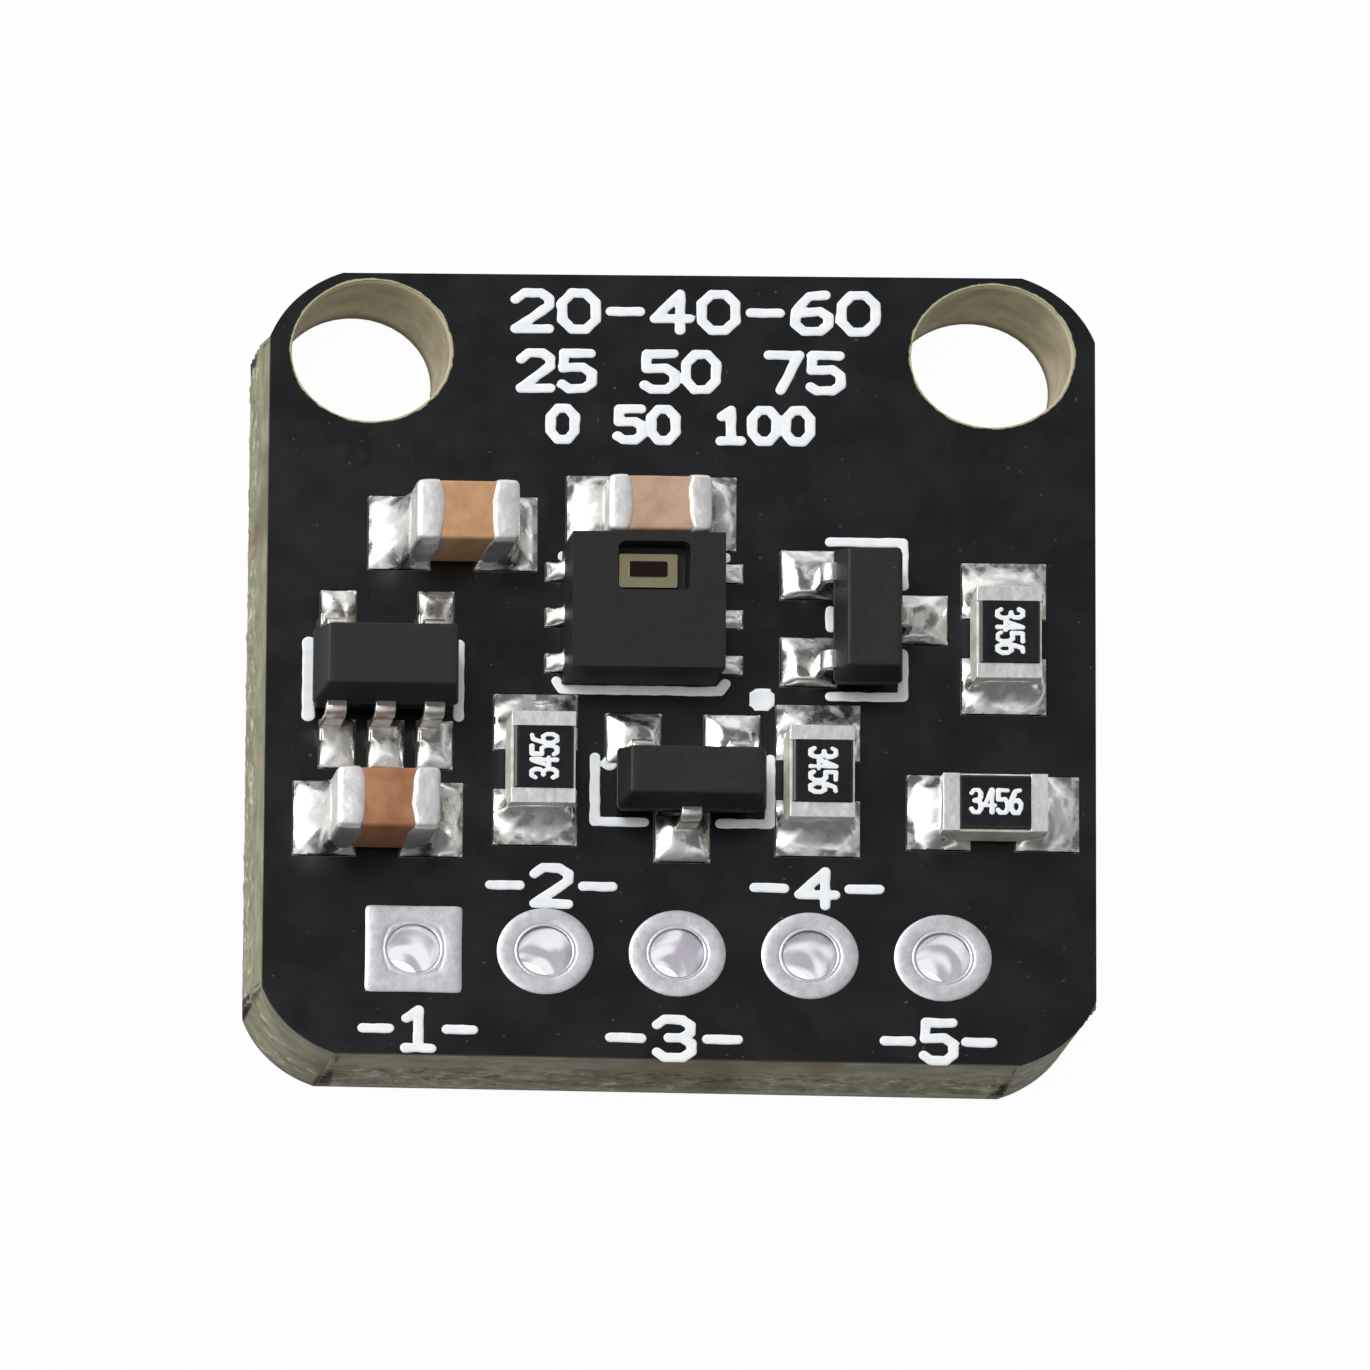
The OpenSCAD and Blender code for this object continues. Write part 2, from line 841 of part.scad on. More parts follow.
module sensor_solder() {
    color(solder_colour)
        sensor_place()
            for (s = [0, 1], i = [-1:1])
                rotate(180 * s)
                    translate([sensor_side / 2, i * sensor_pitch, 0])
                        fillet((sensor_land_span - sensor_side) / 2 - (s == 0 ? 1 : -1) * sensor_off[0],
                               contact_h, contact_w);
}

header_ring(1);  // header_ring_1
header_ring(2);  // header_ring_2
header_ring(3);  // header_ring_3
header_ring(4);  // header_ring_4
header_ring(5);  // header_ring_5
laminate();
solder_mask_front();
solder_mask_back();
legend_print();
via_barrels();
lands() capacitor_land_outlines(0);  // capacitor_lands
lands() resistor_land_outlines(0);  // resistor_lands
lands() transistor_land_outlines(0);  // transistor_lands
lands() regulator_land_outlines(0);  // regulator_lands
lands() sensor_land_outlines(0);  // sensor_lands
sensor_package();
sensor_chip();
sensor_film();
sensor_contacts();
sensor_solder();
regulator_body();
regulator_leads();
regulator_solder();
transistor_body(0);  // transistor_1_body
transistor_leads(0);  // transistor_1_leads
transistor_solder(0);  // transistor_1_solder
transistor_body(1);  // transistor_2_body
transistor_leads(1);  // transistor_2_leads
transistor_solder(1);  // transistor_2_solder
capacitor_body(0);  // capacitor_1_body
capacitor_terminals(0);  // capacitor_1_terminals
capacitor_solder(0);  // capacitor_1_solder
capacitor_body(1);  // capacitor_2_body
capacitor_terminals(1);  // capacitor_2_terminals
capacitor_solder(1);  // capacitor_2_solder
capacitor_body(2);  // capacitor_3_body
capacitor_terminals(2);  // capacitor_3_terminals
capacitor_solder(2);  // capacitor_3_solder
resistor_base(0);  // resistor_1_base
resistor_coat(0);  // resistor_1_coat
resistor_terminals(0);  // resistor_1_terminals
resistor_solder(0);  // resistor_1_solder
resistor_base(1);  // resistor_2_base
resistor_coat(1);  // resistor_2_coat
resistor_terminals(1);  // resistor_2_terminals
resistor_solder(1);  // resistor_2_solder
resistor_base(2);  // resistor_3_base
resistor_coat(2);  // resistor_3_coat
resistor_terminals(2);  // resistor_3_terminals
resistor_solder(2);  // resistor_3_solder
resistor_base(3);  // resistor_4_base
resistor_coat(3);  // resistor_4_coat
resistor_terminals(3);  // resistor_4_terminals
resistor_solder(3);  // resistor_4_solder
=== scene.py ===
"""Finishes a small temperature and humidity sensor board and sets it in a white studio."""
import math

import bmesh
import bpy
import numpy as np
from bpy.props import FloatProperty, FloatVectorProperty, PointerProperty
from mathutils import Matrix, Vector


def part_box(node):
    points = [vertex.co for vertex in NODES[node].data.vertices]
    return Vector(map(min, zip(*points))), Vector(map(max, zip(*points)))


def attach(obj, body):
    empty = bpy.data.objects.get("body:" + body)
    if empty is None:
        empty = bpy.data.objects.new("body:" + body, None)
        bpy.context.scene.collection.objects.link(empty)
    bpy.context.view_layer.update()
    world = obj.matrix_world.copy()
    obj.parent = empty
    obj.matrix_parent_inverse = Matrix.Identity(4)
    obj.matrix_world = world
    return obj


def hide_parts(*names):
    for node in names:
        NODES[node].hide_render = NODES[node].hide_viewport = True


bl_info = {
    "name": "Sensor Board",
    "version": (1, 0, 0),
    "blender": (4, 5, 0),
    "location": "3D View > Sidebar > Board",
    "description": "Finishes a small sensor circuit board and sets it in a white studio",
    "category": "Object",
}

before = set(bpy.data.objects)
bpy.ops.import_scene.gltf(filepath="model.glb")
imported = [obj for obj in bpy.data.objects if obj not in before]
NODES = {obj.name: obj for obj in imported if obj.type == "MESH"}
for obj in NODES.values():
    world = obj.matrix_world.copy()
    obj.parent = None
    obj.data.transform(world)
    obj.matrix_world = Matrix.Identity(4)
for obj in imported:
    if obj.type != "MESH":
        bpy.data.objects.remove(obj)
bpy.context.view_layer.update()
BODY = "root"

# Lengths below are in millimetres, in the row frame
MM = 0.001
TOP = 1.6            # the front face of the solder mask
CORE = (0.04, 1.56)  # the faces of the laminate under its two masks
SEAT = 1.62          # the top of the lands
HALF = (8.0, 8.55)   # half the board's width and length
CORNER = 2.3         # radius that the router cut at each corner
CORNER_IN = 2.17     # how far in its middle is, so that it meets the edges at an angle
MOUNTS = ((-6.02, 6.83), (6.02, 6.83))
MOUNT_R = 1.55
HEADERS = tuple((2.54 * i, -6.28) for i in range(-2, 3))
HEADER_R = 0.51
PAD_R = 0.91
WIDE = 0.03 * MM * MM  # faces over this many square metres are shaded flat
VIAS = ((-6.32, 4.51), (-3.71, 0.30), (2.22, 3.63), (1.75, 1.10), (5.98, 4.77), (4.98, -1.35),
        (6.51, -1.54))


# Meshes

def box(name):
    """The lowest and highest corner of a CAD node, in mm."""
    low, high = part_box(name)
    return np.array(low) / MM, np.array(high) / MM


def blocks(name):
    """The boxes of the separate blocks in a CAD node, in mm."""
    mesh = NODES[name].data
    points = np.array([tuple(v.co) for v in mesh.vertices]) / MM
    _, same = np.unique(np.round(points, 3), axis=0, return_inverse=True)
    same = same.ravel()
    group = list(range(int(same.max()) + 1))

    def first(i):
        while group[i] != i:
            i = group[i]
        return i

    for edge in mesh.edges:
        a, b = (first(int(same[i])) for i in edge.vertices)
        group[max(a, b)] = min(a, b)
    owner = np.array([first(int(i)) for i in same])
    found = [(points[owner == i].min(0), points[owner == i].max(0)) for i in np.unique(owner)]
    return sorted(found, key=lambda b: (round(b[0][0], 2), round(b[0][1], 2)))


def nearest(found, spot):
    return min(found, key=lambda b: float(np.linalg.norm(((b[0] + b[1]) / 2 - spot)[:2])))


def ripple(points, seed, size, waves=9):
    """A smooth random wave over points, about one high, with hills about `size` mm across."""
    rng = np.random.default_rng(seed)
    total = np.zeros(points.shape[:-1])
    for _ in range(waves):
        way = rng.normal(size=points.shape[-1])
        way *= math.pi / size / np.linalg.norm(way) * rng.uniform(0.5, 1.3)
        total += np.sin(points @ way + rng.uniform(0, 2 * math.pi))
    return total / math.sqrt(waves)


def piece(name, parts, material, stands_for=(), sharp=40):
    """Adds one mesh made of (points in mm, faces) parts. It rides on the board."""
    points, faces = [], []
    for some, sides in parts:
        base = len(points)
        points += [tuple(p) for p in np.asarray(some, float) * MM]
        faces += [tuple(base + i for i in side) for side in sides]
    mesh = bpy.data.meshes.new(name)
    mesh.from_pydata(points, [], faces)
    mesh.materials.append(material)
    return settle(name, mesh, stands_for, sharp)


def settle(name, mesh, stands_for, sharp):
    """Shades a mesh smooth up to `sharp` degrees and sets it on the board as a piece."""
    mesh.shade_smooth()
    mesh.set_sharp_from_angle(angle=math.radians(sharp))
    made = bpy.data.objects.new(name, mesh)
    bpy.context.scene.collection.objects.link(made)
    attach(made, BODY)
    if stands_for:
        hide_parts(*stands_for)
    return made


def dress(name, material):
    slots = NODES[name].data.materials
    slots.clear()
    slots.append(material)


def refined(name, node, material, width, steps=2, angle=30, sharp=40):
    """Stands for a CAD node with the same shape, its edges rounded by `width` mm."""
    work = bmesh.new()
    work.from_mesh(NODES[node].data)
    bmesh.ops.remove_doubles(work, verts=work.verts, dist=1e-7)
    bmesh.ops.dissolve_limit(work, angle_limit=math.radians(1), verts=work.verts, edges=work.edges)
    turned = math.radians(angle)
    edges = [e for e in work.edges if len(e.link_faces) == 2 and e.calc_face_angle() > turned]
    rounds = set(bmesh.ops.bevel(work, geom=edges, offset=width * MM, segments=steps, profile=0.5,
                                 affect="EDGES", clamp_overlap=True)["faces"])
    work.faces.index_update()
    wide = [face.index for face in work.faces if face not in rounds and face.calc_area() > WIDE]
    mesh = bpy.data.meshes.new(name)
    work.to_mesh(mesh)
    work.free()
    mesh.materials.clear()
    mesh.materials.append(material)
    made = settle(name, mesh, (node,), sharp)
    # a wide flat face keeps its own direction, so that no shade crosses it
    for i in wide:
        mesh.polygons[i].use_smooth = False
    return made


def tube(loops, closed_ends=(True, True)):
    """Quads between successive loops of equal length, with a flat end at each closed end."""
    n = len(loops[0])
    faces = [
        (k * n + i, k * n + (i + 1) % n, (k + 1) * n + (i + 1) % n, (k + 1) * n + i)
        for k in range(len(loops) - 1) for i in range(n)
    ]
    if closed_ends[0]:
        faces.append(tuple(reversed(range(n))))
    if closed_ends[1]:
        faces.append(tuple(range((len(loops) - 1) * n, len(loops) * n)))
    return np.concatenate(loops), faces


def soft_loop(a, b, r, steps=5, along=6):
    """A rectangle of half sides a and b with round corners, as points going anticlockwise."""
    r = min(r, a * 0.98, b * 0.98)
    loop = []
    for quarter, (sx, sy) in enumerate(((1, 1), (-1, 1), (-1, -1), (1, -1))):
        for k in range(steps + 1):
            turn = math.pi / 2 * (quarter + k / steps)
            loop.append((sx * (a - r) + r * math.cos(turn), sy * (b - r) + r * math.sin(turn)))
    full = []
    for k, start in enumerate(loop):
        end = loop[(k + 1) % len(loop)]
        full.append(start)
        if (k + 1) % (steps + 1) == 0:
            full += [(start[0] + (end[0] - start[0]) * j / along,
                      start[1] + (end[1] - start[1]) * j / along) for j in range(1, along)]
    return np.array(full)


# Materials

def linear(code):
    """The linear RGBA of an sRGB hex colour."""
    parts = [int(code[i : i + 2], 16) / 255 for i in (1, 3, 5)]
    return (*[c / 12.92 if c <= 0.04045 else ((c + 0.055) / 1.055) ** 2.4 for c in parts], 1.0)


def add(tree, kind, settings=None, values=None, links=None):
    """Adds a node with its settings, its inputs' values and the links into it."""
    node = tree.nodes.new(kind)
    for key, value in (settings or {}).items():
        setattr(node, key, value)
    for key, value in (values or {}).items():
        node.inputs[key].default_value = value
    for key, source in (links or {}).items():
        tree.links.new(source, node.inputs[key])
    return node


def start(name, metallic=0.0, roughness=0.4):
    """A material with one principled shader and the board's own coordinates in mm."""
    material = bpy.data.materials.new(name)
    material.use_nodes = True
    tree = material.node_tree
    tree.nodes.clear()
    out = add(tree, "ShaderNodeOutputMaterial")
    shader = add(tree, "ShaderNodeBsdfPrincipled", values={
        "Metallic": metallic, "Roughness": roughness})
    tree.links.new(shader.outputs["BSDF"], out.inputs["Surface"])
    place = add(tree, "ShaderNodeTexCoord")
    millimetres = add(tree, "ShaderNodeVectorMath", {"operation": "SCALE"}, {"Scale": 1 / MM},
                      {0: place.outputs["Object"]})
    return material, tree, shader, millimetres.outputs[0]


def grain(tree, place, size, detail=3.0, stretch=(1, 1, 1), roughness=0.55):
    """Noise with spots about `size` mm across, from nought to one. A stretch above one is finer."""
    sized = add(tree, "ShaderNodeVectorMath", {"operation": "MULTIPLY"}, {1: stretch}, {0: place})
    return add(tree, "ShaderNodeTexNoise", None,
               {"Scale": 0.5 / size, "Detail": detail, "Roughness": roughness},
               {"Vector": sized.outputs[0]}).outputs["Fac"]


def remap(tree, source, low, high, to_low=0.0, to_high=1.0):
    return add(tree, "ShaderNodeMapRange", {"interpolation_type": "SMOOTHSTEP"},
               {1: low, 2: high, 3: to_low, 4: to_high}, {0: source}).outputs[0]


def blend(tree, share, first, second):
    """A colour between two, each a hex code or another node's output."""
    mix = add(tree, "ShaderNodeMix", {"data_type": "RGBA"})
    for key, value in ((0, share), (6, first), (7, second)):
        if isinstance(value, str):
            mix.inputs[key].default_value = linear(value)
        elif isinstance(value, float):
            mix.inputs[key].default_value = value
        else:
            tree.links.new(value, mix.inputs[key])
    return mix.outputs[2]


def bump(tree, shader, height, depth, strength=1.0):
    """Relief `depth` mm deep on what the shader had before."""
    node = add(tree, "ShaderNodeBump", None, {"Strength": strength, "Distance": depth * MM},
               {"Height": height})
    if shader.inputs["Normal"].links:
        tree.links.new(shader.inputs["Normal"].links[0].from_socket, node.inputs["Normal"])
    tree.links.new(node.outputs[0], shader.inputs["Normal"])


def paint(tree, shader, colour):
    tree.links.new(colour, shader.inputs["Base Color"])


def away_from(tree, place, spot):
    """The distance in mm from an upright line through `spot`."""
    flat = add(tree, "ShaderNodeVectorMath", {"operation": "MULTIPLY"}, {1: (1, 1, 0)}, {0: place})
    return add(tree, "ShaderNodeVectorMath", {"operation": "DISTANCE"}, {1: (*spot, 0)},
               {0: flat.outputs[0]}).outputs["Value"]


def lower(tree, first, *others):
    """The least of some values."""
    for other in others:
        first = add(tree, "ShaderNodeMath", {"operation": "MINIMUM"}, None,
                    {0: first, 1: other}).outputs[0]
    return first


def mask_paint():
    """Black solder mask, sprayed and baked. Satin, with the copper's faint relief under it."""
    material, tree, shader, place = start("solder_mask_black_sprayed", 0, 0.36)
    shader.inputs["IOR"].default_value = 1.5
    tone = blend(tree, remap(tree, grain(tree, place, 3.0), 0.3, 0.7), "#0A0B0E", "#0E0F13")
    # drilled rims show the laminate where the mask has chipped back
    rim = lower(tree, *(away_from(tree, place, spot) for spot in MOUNTS))
    ragged = add(tree, "ShaderNodeMath", {"operation": "MULTIPLY_ADD"}, {1: 0.09},
                 {0: grain(tree, place, 0.12), 2: rim}).outputs[0]
    tone = blend(tree, remap(tree, ragged, MOUNT_R + 0.08, MOUNT_R + 0.11), "#B9B392", tone)
    # dust and pinholes, a little larger than real so that they show
    speck = remap(tree, grain(tree, place, 0.06, 1.0), 0.76, 0.80)
    paint(tree, shader, blend(tree, speck, tone, "#46474C"))
    # hills over the copper under the mask, coarser than its tracks
    bump(tree, shader, grain(tree, place, 0.9, 1.0), 0.008)
    bump(tree, shader, grain(tree, place, 0.06, 2.0), 0.0012)
    tree.links.new(remap(tree, grain(tree, place, 0.5), 0.3, 0.7, 0.33, 0.42),
                   shader.inputs["Roughness"])
    return material


def laminate_paint():
    """Woven glass epoxy, broken and routed. Olive grey, with pale crushed fibres in layers."""
    material, tree, shader, place = start("glass_epoxy_broken_edge", 0, 0.75)
    height = add(tree, "ShaderNodeSeparateXYZ", None, None, {0: place}).outputs[2]
    # the weave's layers, coarser than real so that they show
    layers = grain(tree, place, 0.45, 3.0, (1, 1, 5))
    tone = blend(tree, remap(tree, layers, 0.32, 0.70), "#7B7A64", "#9A987F")
    # crushed fibres where the web broke, and darker patches
    flecks = grain(tree, place, 0.16, 3.0, (1, 1, 2.4))
    torn = add(tree, "ShaderNodeMath", {"operation": "MULTIPLY"}, None, {
        0: remap(tree, flecks, 0.52, 0.72),
        1: remap(tree, height, 1.25, 0.95)}).outputs[0]
    tone = blend(tree, torn, tone, "#C4C0AC")
    stain = remap(tree, grain(tree, place, 1.2, 2.0), 0.5, 0.7)
    tone = blend(tree, stain, tone, "#6E6650")
    # painted shade at the ends of the web, where its end faces and lower slope stand in shadow, wider
    # lower down
    x, y = HALF[0] + 0.05, HALF[1] - CORNER_IN + 0.66
    across, away = HALF[0] - CORNER_IN + 0.66, HALF[1] + 0.05
    ends = [(sx * a, sy * b) for a, b in ((x, y), (across, away)) for sx in (-1, 1) for sy in (-1, 1)]
    near = lower(tree, *(away_from(tree, place, spot) for spot in ends))
    shaded_wedge = add(tree, "ShaderNodeMath", {"operation": "SUBTRACT"}, None, {
        0: near, 1: remap(tree, height, 1.35, 0.2, 0.0, 0.14)}).outputs[0]
    tone = blend(tree, remap(tree, shaded_wedge, -0.02, 0.06), "#33261E", tone)
    # drilled walls are warmer than the broken edge, and painted paler than they are as painted light
    # where the hole lies in shade
    rim = lower(tree, *(away_from(tree, place, spot) for spot in MOUNTS))
    drilled = blend(tree, remap(tree, grain(tree, place, 0.35, 3.0, (1, 1, 2)), 0.3, 0.7),
                    "#A39880", "#BFB498")
    # a pale band along the top is a painted highlight, and the dark foot is painted shade
    drilled = blend(tree, remap(tree, height, 1.44, 1.52), drilled, "#D3CCAA")
    drilled = blend(tree, remap(tree, height, 0.05, 0.30), "#6E6148", drilled)
    paint(tree, shader, blend(tree, remap(tree, rim, MOUNT_R + 0.05, MOUNT_R + 0.09), drilled, tone))
    bump(tree, shader, grain(tree, place, 0.05, 3.0, (1, 1, 3)), 0.015)
    return material


def ink_paint():
    """White legend ink, printed and baked. Matt and nearly opaque, a little thin in places."""
    material, tree, shader, place = start("legend_ink_white_printed", 0, 0.6)
    paint(tree, shader, blend(tree, remap(tree, grain(tree, place, 0.12), 0.3, 0.65),
                              "#F0F6FB", "#FDFEFF"))
    bump(tree, shader, grain(tree, place, 0.03), 0.002)
    return material


def pad_tin():
    """Tin levelled on copper by hot air. Pale grey and dull, with a fine crystal grain."""
    material, tree, shader, place = start("tin_hot_air_levelled", 1, 0.56)
    tone = blend(tree, remap(tree, grain(tree, place, 0.10), 0.3, 0.7), "#DAD9DD", "#ECEBEF")
    # the plating inside the holes is brighter and smoother than the levelled rings
    inner = lower(tree, *(away_from(tree, place, spot) for spot in HEADERS))
    ring = remap(tree, inner, HEADER_R + 0.01, HEADER_R + 0.05)
    inside = blend(tree, remap(tree, grain(tree, place, 0.42, 1.0), 0.42, 0.58), "#B4AEBA", "#F4F6FA")
    paint(tree, shader, blend(tree, ring, inside, tone))
    tree.links.new(remap(tree, ring, 0, 1, 0.26, 0.56), shader.inputs["Roughness"])
    bump(tree, shader, grain(tree, place, 0.035, 2.0), 0.004)
    bump(tree, shader, grain(tree, place, 0.3, 1.0), 0.008)
    return material


def solder_metal(tint=("#E3E1DE", "#F7F6F4")):
    """Lead free solder, reflowed. Bright, with a frosted skin in patches where it froze last."""
    material, tree, shader, place = start("solder_reflowed", 1, 0.2)
    frost = remap(tree, grain(tree, place, 0.16, 3.0), 0.38, 0.66)
    paint(tree, shader, blend(tree, frost, *reversed(tint)))
    tree.links.new(remap(tree, frost, 0, 1, 0.22, 0.48), shader.inputs["Roughness"])
    bump(tree, shader, grain(tree, place, 0.12, 2.0), 0.008)
    return material


def terminal_tin():
    """Tin barrel plated over a chip's dipped terminals. Pale, soft sheen, uneven from the dip."""
    material, tree, shader, place = start("tin_barrel_plated", 1, 0.5)
    paint(tree, shader, blend(tree, remap(tree, grain(tree, place, 0.14), 0.3, 0.7),
                              "#F0EDEC", "#FCFBFB"))
    bump(tree, shader, grain(tree, place, 0.20, 2.0), 0.024)
    bump(tree, shader, grain(tree, place, 0.03, 2.0), 0.002)
    return material


def lead_tin():
    """Matt tin plated on stamped copper leads. Darker than the solder, with fine forming lines."""
    material, tree, shader, place = start("tin_matt_plated_lead", 1, 0.34)
    paint(tree, shader, blend(tree, remap(tree, grain(tree, place, 0.12), 0.3, 0.7),
                              "#CFCAC4", "#EBE8E5"))
    bump(tree, shader, grain(tree, place, 0.04, 2.0, (1, 1, 0.25)), 0.003)
    return material


def via_copper():
    """Plated copper, left dull inside its hole."""
    material, tree, shader, place = start("copper_plated_dull", 1, 0.45)
    paint(tree, shader, blend(tree, grain(tree, place, 0.1), "#A86844", "#C48560"))
    return material


def mould_compound(name="mould_compound_black", dark="#0E0E0F", pale="#141415"):
    """Epoxy moulding compound with silica filler. Near black, with a fine eroded grain."""
    material, tree, shader, place = start(name, 0, 0.55)
    tone = blend(tree, remap(tree, grain(tree, place, 0.5, 3.0), 0.3, 0.7), dark, pale)
    filler = remap(tree, grain(tree, place, 0.022, 1.0), 0.66, 0.76)
    paint(tree, shader, blend(tree, filler, tone, "#343437"))
    bump(tree, shader, grain(tree, place, 0.02, 2.0), 0.003)
    return material


def ceramic(name, dark, pale):
    """Barium titanate ceramic, sintered. Satin and faintly clouded, with a pressed grain."""
    material, tree, shader, place = start(name, 0, 0.42)
    paint(tree, shader, blend(tree, remap(tree, grain(tree, place, 0.25, 4.0), 0.3, 0.7),
                              dark, pale))
    bump(tree, shader, grain(tree, place, 0.03, 2.0), 0.003)
    return material


def alumina():
    """Alumina substrate, snapped from a scored sheet. Matt white, slightly green by its glass."""
    material, tree, shader, place = start("alumina_snapped", 0, 0.55)
    paint(tree, shader, blend(tree, remap(tree, grain(tree, place, 0.12, 4.0), 0.3, 0.7),
                              "#C8D0BC", "#E9EDE2"))
    bump(tree, shader, grain(tree, place, 0.04, 3.0), 0.008)
    return material


def glass_coat():
    """Black glass fired over a resistor's film. Smooth, with a soft gloss and slight waves."""
    material, tree, shader, place = start("glass_coat_black_fired", 0, 0.28)
    paint(tree, shader, blend(tree, remap(tree, grain(tree, place, 0.2), 0.3, 0.7),
                              "#19191B", "#232326"))
    bump(tree, shader, grain(tree, place, 0.18, 2.0), 0.006)
    return material


def chip_metal():
    """Aluminium and gold tinted oxide on silicon. Pale gold on top; the cut sides lack the film and are
    painted a darker copper brown as painted shade.
    """
    material, tree, shader, place = start("silicon_chip_gold_film", 1, 0.3)
    # faces turning away from the top take the darker colour, a painted shade by direction
    facing = add(tree, "ShaderNodeNewGeometry").outputs["True Normal"]
    up = add(tree, "ShaderNodeSeparateXYZ", None, None, {0: facing}).outputs[2]
    top = blend(tree, grain(tree, place, 0.15), "#EBE2AE", "#FBF4CF")
    side = blend(tree, grain(tree, place, 0.10), "#8C4E2C", "#C07A4C")
    paint(tree, shader, blend(tree, remap(tree, up, 0.3, 0.8), side, top))
    return material


def film_gloss():
    """Humidity sensing polymer film. Thin, dark brown and glossy."""
    material, tree, shader, place = start("polymer_film_spun", 0, 0.12)
    paint(tree, shader, blend(tree, grain(tree, place, 0.1), "#1B0D0E", "#2B1517"))
    return material


# Shapes of the board

def outline(step=0.06):
    """Points round the board in mm, anticlockwise, with their outward directions and, for each,
    whether the router cut it."""
    points, outward, routed = [], [], []
    hx, hy = HALF[0] - CORNER_IN, HALF[1] - CORNER_IN
    corners = [np.array(spot) for spot in ((hx, hy), (-hx, hy), (-hx, -hy), (hx, -hy))]
    meets = math.acos(CORNER_IN / CORNER)
    for quarter, centre in enumerate(corners):
        count = int(CORNER * (math.pi / 2 - 2 * meets) / step)
        for turn in math.pi / 2 * quarter + np.linspace(meets, math.pi / 2 - meets, count + 1):
            out = np.array((math.cos(turn), math.sin(turn)))
            points.append(centre + CORNER * out)
            outward.append(out)
            routed.append(True)
        turn = math.pi / 2 * (quarter + 1)
        out = np.array((math.cos(turn), math.sin(turn)))
        along = np.array((-out[1], out[0])) * CORNER * math.sin(meets)
        first = centre + CORNER_IN * out - along
        last = corners[(quarter + 1) % 4] + CORNER_IN * out + along
        count = int(np.linalg.norm(last - first) / step)
        for k in range(count + 1):
            points.append(first + (last - first) * k / count)
            outward.append(out)
            routed.append(False)
    return np.array(points), np.array(outward), np.array(routed)


def circle(spot, r, count=96):
    turns = np.linspace(0, 2 * math.pi, count, endpoint=False)
    return np.stack([spot[0] + r * np.cos(turns), spot[1] + r * np.sin(turns)], axis=1)


def plate(loops, z, facing):
    """A flat sheet at height z between an outer loop and its holes."""
    work = bmesh.new()
    edges = []
    for loop in loops:
        ring = [work.verts.new((x, y, 0)) for x, y in loop]
        edges += [work.edges.new((ring[i - 1], ring[i])) for i in range(len(ring))]
    bmesh.ops.triangle_fill(work, use_beauty=True, edges=edges, normal=(0, 0, 1))
    work.verts.index_update()
    points = [(v.co.x, v.co.y, z) for v in work.verts]
    faces = []
    for face in work.faces:
        side = [v.index for v in face.verts]
        (ax, ay, _), (bx, by, _), (cx, cy, _) = (points[i] for i in side[:3])
        turned = (bx - ax) * (cy - ay) - (by - ay) * (cx - ax)
        faces.append(side if turned * facing > 0 else side[::-1])
    work.free()
    return points, faces


def wall(rows):
    """Quads between closed rows of points, from the lowest up. They face out if the rows go
    anticlockwise."""
    return tube(rows, (False, False))


def openings(node, z):
    """The holes' outlines in the face of a CAD node at height z, each anticlockwise."""
    mesh = NODES[node].data
    spots = np.round(np.array([tuple(v.co) for v in mesh.vertices]) / MM, 4)
    turns = {}
    for face in mesh.polygons:
        side = [tuple(spots[i]) for i in face.vertices]
        if all(abs(spot[2] - z) < 0.002 for spot in side):
            for a, b in zip(side, side[1:] + side[:1]):
                turns[a[:2], b[:2]] = turns.get((a[:2], b[:2]), 0) + 1
    after = {a: b for a, b in turns if (b, a) not in turns}
    found = []
    while after:
        loop = [next(iter(after))]
        while loop[-1] in after:
            loop.append(after.pop(loop[-1]))
        loop = np.array(loop[:-1])
        x, y = loop[:, 0], loop[:, 1]
        if (x * np.roll(y, -1) - y * np.roll(x, -1)).sum() < 0:
            loop = loop[::-1]
        found.append(loop)
    found.sort(key=lambda loop: float(np.ptp(loop[:, 0])))
    return found[:-1]


